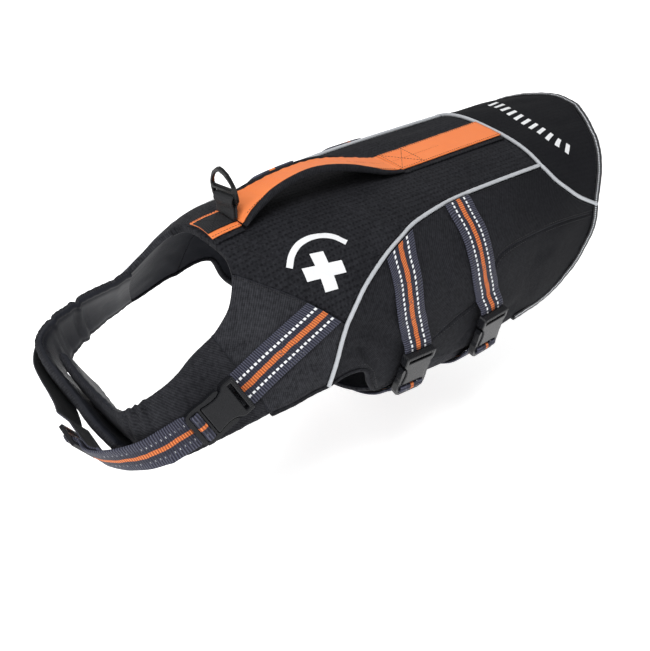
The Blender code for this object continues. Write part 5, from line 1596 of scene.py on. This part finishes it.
prints = {
    "cross": {"y": -127.5, "phi": 41.6, "arm": 14.6, "half": 4.9, "turn": 8.0},
    "bar": {"places": [(-148.5, 35), (-142, 30), (-133, 26), (-123, 24.6), (-114, 25.2),
                       (-106.5, 28), (-101.5, 32.5)], "half": 2.3},
    "tail": {"places": [(142, 31), (137.5, 22), (136, 13), (136.5, 4), (139, -5), (143, -16),
                        (146, -27)], "half": 5.8, "count": 11, "fill": 0.42, "slant": 0.38},
    "lift": 0.16, "thick": 0.1, "cell": 1.5,
}


def localPlaces(y0, phi0, spots):  # places a distance along and round from one place
    byPhi = np.linalg.norm(trunkSkin(y0, phi0 + 0.5) - trunkSkin(y0, phi0 - 0.5))
    phi = phi0 + spots[..., 1] / byPhi
    for _ in range(3):
        step = np.linalg.norm(trunkSkin(y0, (phi + phi0) / 2 + 0.5)
                              - trunkSkin(y0, (phi + phi0) / 2 - 0.5), axis=-1)
        phi = phi0 + spots[..., 1] / step
    return y0 + spots[..., 0], phi


def inkPatches(name, patches, side):  # one print of several patches, as a thin layer on the cloth
    points, faces, uvs, start = [], [], [], 0
    for y, phi in patches:
        for lift in (prints["lift"], prints["lift"] - prints["thick"]):
            points.append(printed(y, phi * side, lift).reshape(-1, 3))
            uvs.append(clothUv(y, phi).reshape(-1, 2))
        faces.append(wallFaces(*y.shape, start))
        start += 2 * y.size
    piece = meshPiece(name, np.concatenate(points), np.concatenate(faces), [finishes["ink"]],
                      np.concatenate(uvs))
    work = bmesh.new()
    work.from_mesh(piece.data)
    bmesh.ops.remove_doubles(work, verts=work.verts, dist=1e-6)
    # walls between patches that touch would show through as seams
    inner = [face for face in work.faces if face.calc_area() < 0.5 * mm * mm
             and sum(len(edge.link_faces) > 2 for edge in face.edges) > 1]
    bmesh.ops.delete(work, geom=inner, context="FACES_ONLY")
    work.to_mesh(piece.data)
    work.free()
    piece.data.shade_flat()
    return dressed(piece, "reflective_piping")


def ribbonPatch(line, a, b, half, rows, columnCount, slant=0.0):
    t = np.linspace(a, b, rows)[:, None]
    x = np.linspace(-half, half, columnCount)[None, :]
    t, x = np.broadcast_arrays(t + slant * (x + half) / (2 * half), x)
    return strapPlace(line, t, x)


def makePrints(s=prints):
    c = s["cross"]
    arm, half = c["arm"], c["half"]
    blocks = [(-arm, -half, -half, half), (-half, half, -half, half), (half, arm, -half, half),
              (-half, half, -arm, -half), (-half, half, half, arm)]
    a = math.radians(c["turn"])
    for side, word in sides:
        patches = []
        for x0, x1, y0, y1 in blocks:
            x = np.linspace(x0, x1, int((x1 - x0) / s["cell"]) + 2)[:, None]
            y = np.linspace(y0, y1, int((y1 - y0) / s["cell"]) + 2)[None, :]
            x, y = np.broadcast_arrays(x, y)
            spots = np.stack([x * math.cos(a) - y * math.sin(a),
                              x * math.sin(a) + y * math.cos(a)], -1)
            patches.append(localPlaces(c["y"], c["phi"], spots))
        bar = spaced(smoothed(s["bar"]["places"]), 60)
        patches.append(ribbonPatch(bar, 0.0, 1.0, s["bar"]["half"], 44, 4))
        inkPatches(f"print_{word}", patches, side)
    t = s["tail"]
    line = spaced(smoothed(t["places"]), 60)
    step = 1 / (t["count"] + t["slant"])
    patches = [ribbonPatch(line, k * step, (k + t["fill"]) * step, t["half"], 5, 9,
                           t["slant"] * step) for k in range(t["count"])]
    inkPatches("print_tail", patches, 1)


makePrints()
print("prints ready")

# ---- plastic parts: the solids keep their shape, and the sockets gain grip ribs

ribForm = {"along": 1.7, "high": 6.95, "half": 12.0, "points": 14, "pitch": 1.55,
           "size": (0.75, 2.3, 0.7)}


def makePlastics(s=ribForm):
    for name, node in nodes.items():
        if name.startswith(("buckle", "slider", "d_ring")):
            node.data.materials.clear()
            node.data.materials.append(finishes["ring" if name == "d_ring" else "buckle"])
    across = np.linspace(-s["half"], s["half"], s["points"])
    runs = [(inFrame(place, [(x, s["along"], s["high"]) for x in across]),
             np.array(plasticFrames[place][3])) for place in ("front", "rear", "neck")]
    rowPiece("buckle_ribs", runs, s["pitch"], s["size"], finishes["buckle"], "buckle_plastic")


makePlastics()
print("plastics ready")

# ---- floor, light and camera

boxLow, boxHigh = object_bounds()
target = (boxLow + boxHigh) / 2
stage = {"floor": (0.93, 0.93, 0.93), "lighter": 1.03, "glow": 0.66, "size": 12.0, "drop": 0.06,
         "sky": 0.42}
# place, width, power
lamps = {"keyLamp": ((0.62, -0.7, 1.65), 1.0, 19.0), "rimLamp": ((-0.9, 0.9, 1.3), 0.9, 4.0),
         "frontLamp": ((0.3, -1.4, 0.9), 0.9, 8.0)}


def makeStage(s=stage):
    mesh = bpy.data.meshes.new("floor")
    half, z = s["size"] / 2, boxLow.z - s["drop"]
    mesh.from_pydata([(-half, -half, z), (half, -half, z), (half, half, z), (-half, half, z)],
                     [], [(0, 1, 2, 3)])
    floor = bpy.data.objects.new("floor", mesh)
    bpy.context.scene.collection.objects.link(floor)
    f = Finish("floorPaper", Roughness=0.9, Emission_Strength=s["glow"],
               Emission_Color=(1, 1, 1, 1))
    f.show(f.blend(f.noise(f.place(), 4.0), s["floor"], [v * s["lighter"] for v in s["floor"]]),
           0.9)
    mesh.materials.append(f.material)
    world = bpy.data.worlds.new("studio")
    world.use_nodes = True
    background = world.node_tree.nodes["Background"].inputs
    background["Color"].default_value, background["Strength"].default_value = (1, 1, 1, 1), s["sky"]
    bpy.context.scene.world = world


def makeLamps():
    for name, (place, size, power) in lamps.items():
        light = bpy.data.lights.new(name, "AREA")
        light.shape, light.size, light.energy = "DISK", size, power
        holder = bpy.data.objects.new(name, light)
        bpy.context.scene.collection.objects.link(holder)
        holder.location = place
        holder.rotation_euler = (target - Vector(place)).to_track_quat("-Z", "Y").to_euler()


view = {"azimuth": 51.6, "pitch": 32.0, "place": (0.5455, -0.505, 0.3208), "focal": 1034.0,
        "picture": 651.0, "sensor": 36.0}


def makeCamera(s=view):
    a, p = math.radians(s["azimuth"]), math.radians(s["pitch"])
    right = Vector((math.cos(a), math.sin(a), 0))
    ahead = Vector((-math.sin(a) * math.cos(p), math.cos(a) * math.cos(p), -math.sin(p)))
    up = right.cross(ahead)
    camera = bpy.data.cameras.new("camera")
    camera.sensor_width = s["sensor"]
    camera.lens = s["focal"] / s["picture"] * camera.sensor_width
    camera.clip_start = 0.01
    holder = bpy.data.objects.new("camera", camera)
    bpy.context.scene.collection.objects.link(holder)
    turned = Matrix((right, up, -ahead)).transposed().to_4x4()
    holder.matrix_world = Matrix.Translation(s["place"]) @ turned
    bpy.context.scene.camera = holder


makeStage()
makeLamps()
makeCamera()
bpy.context.scene.view_settings.view_transform = "Standard"
print("stage ready")
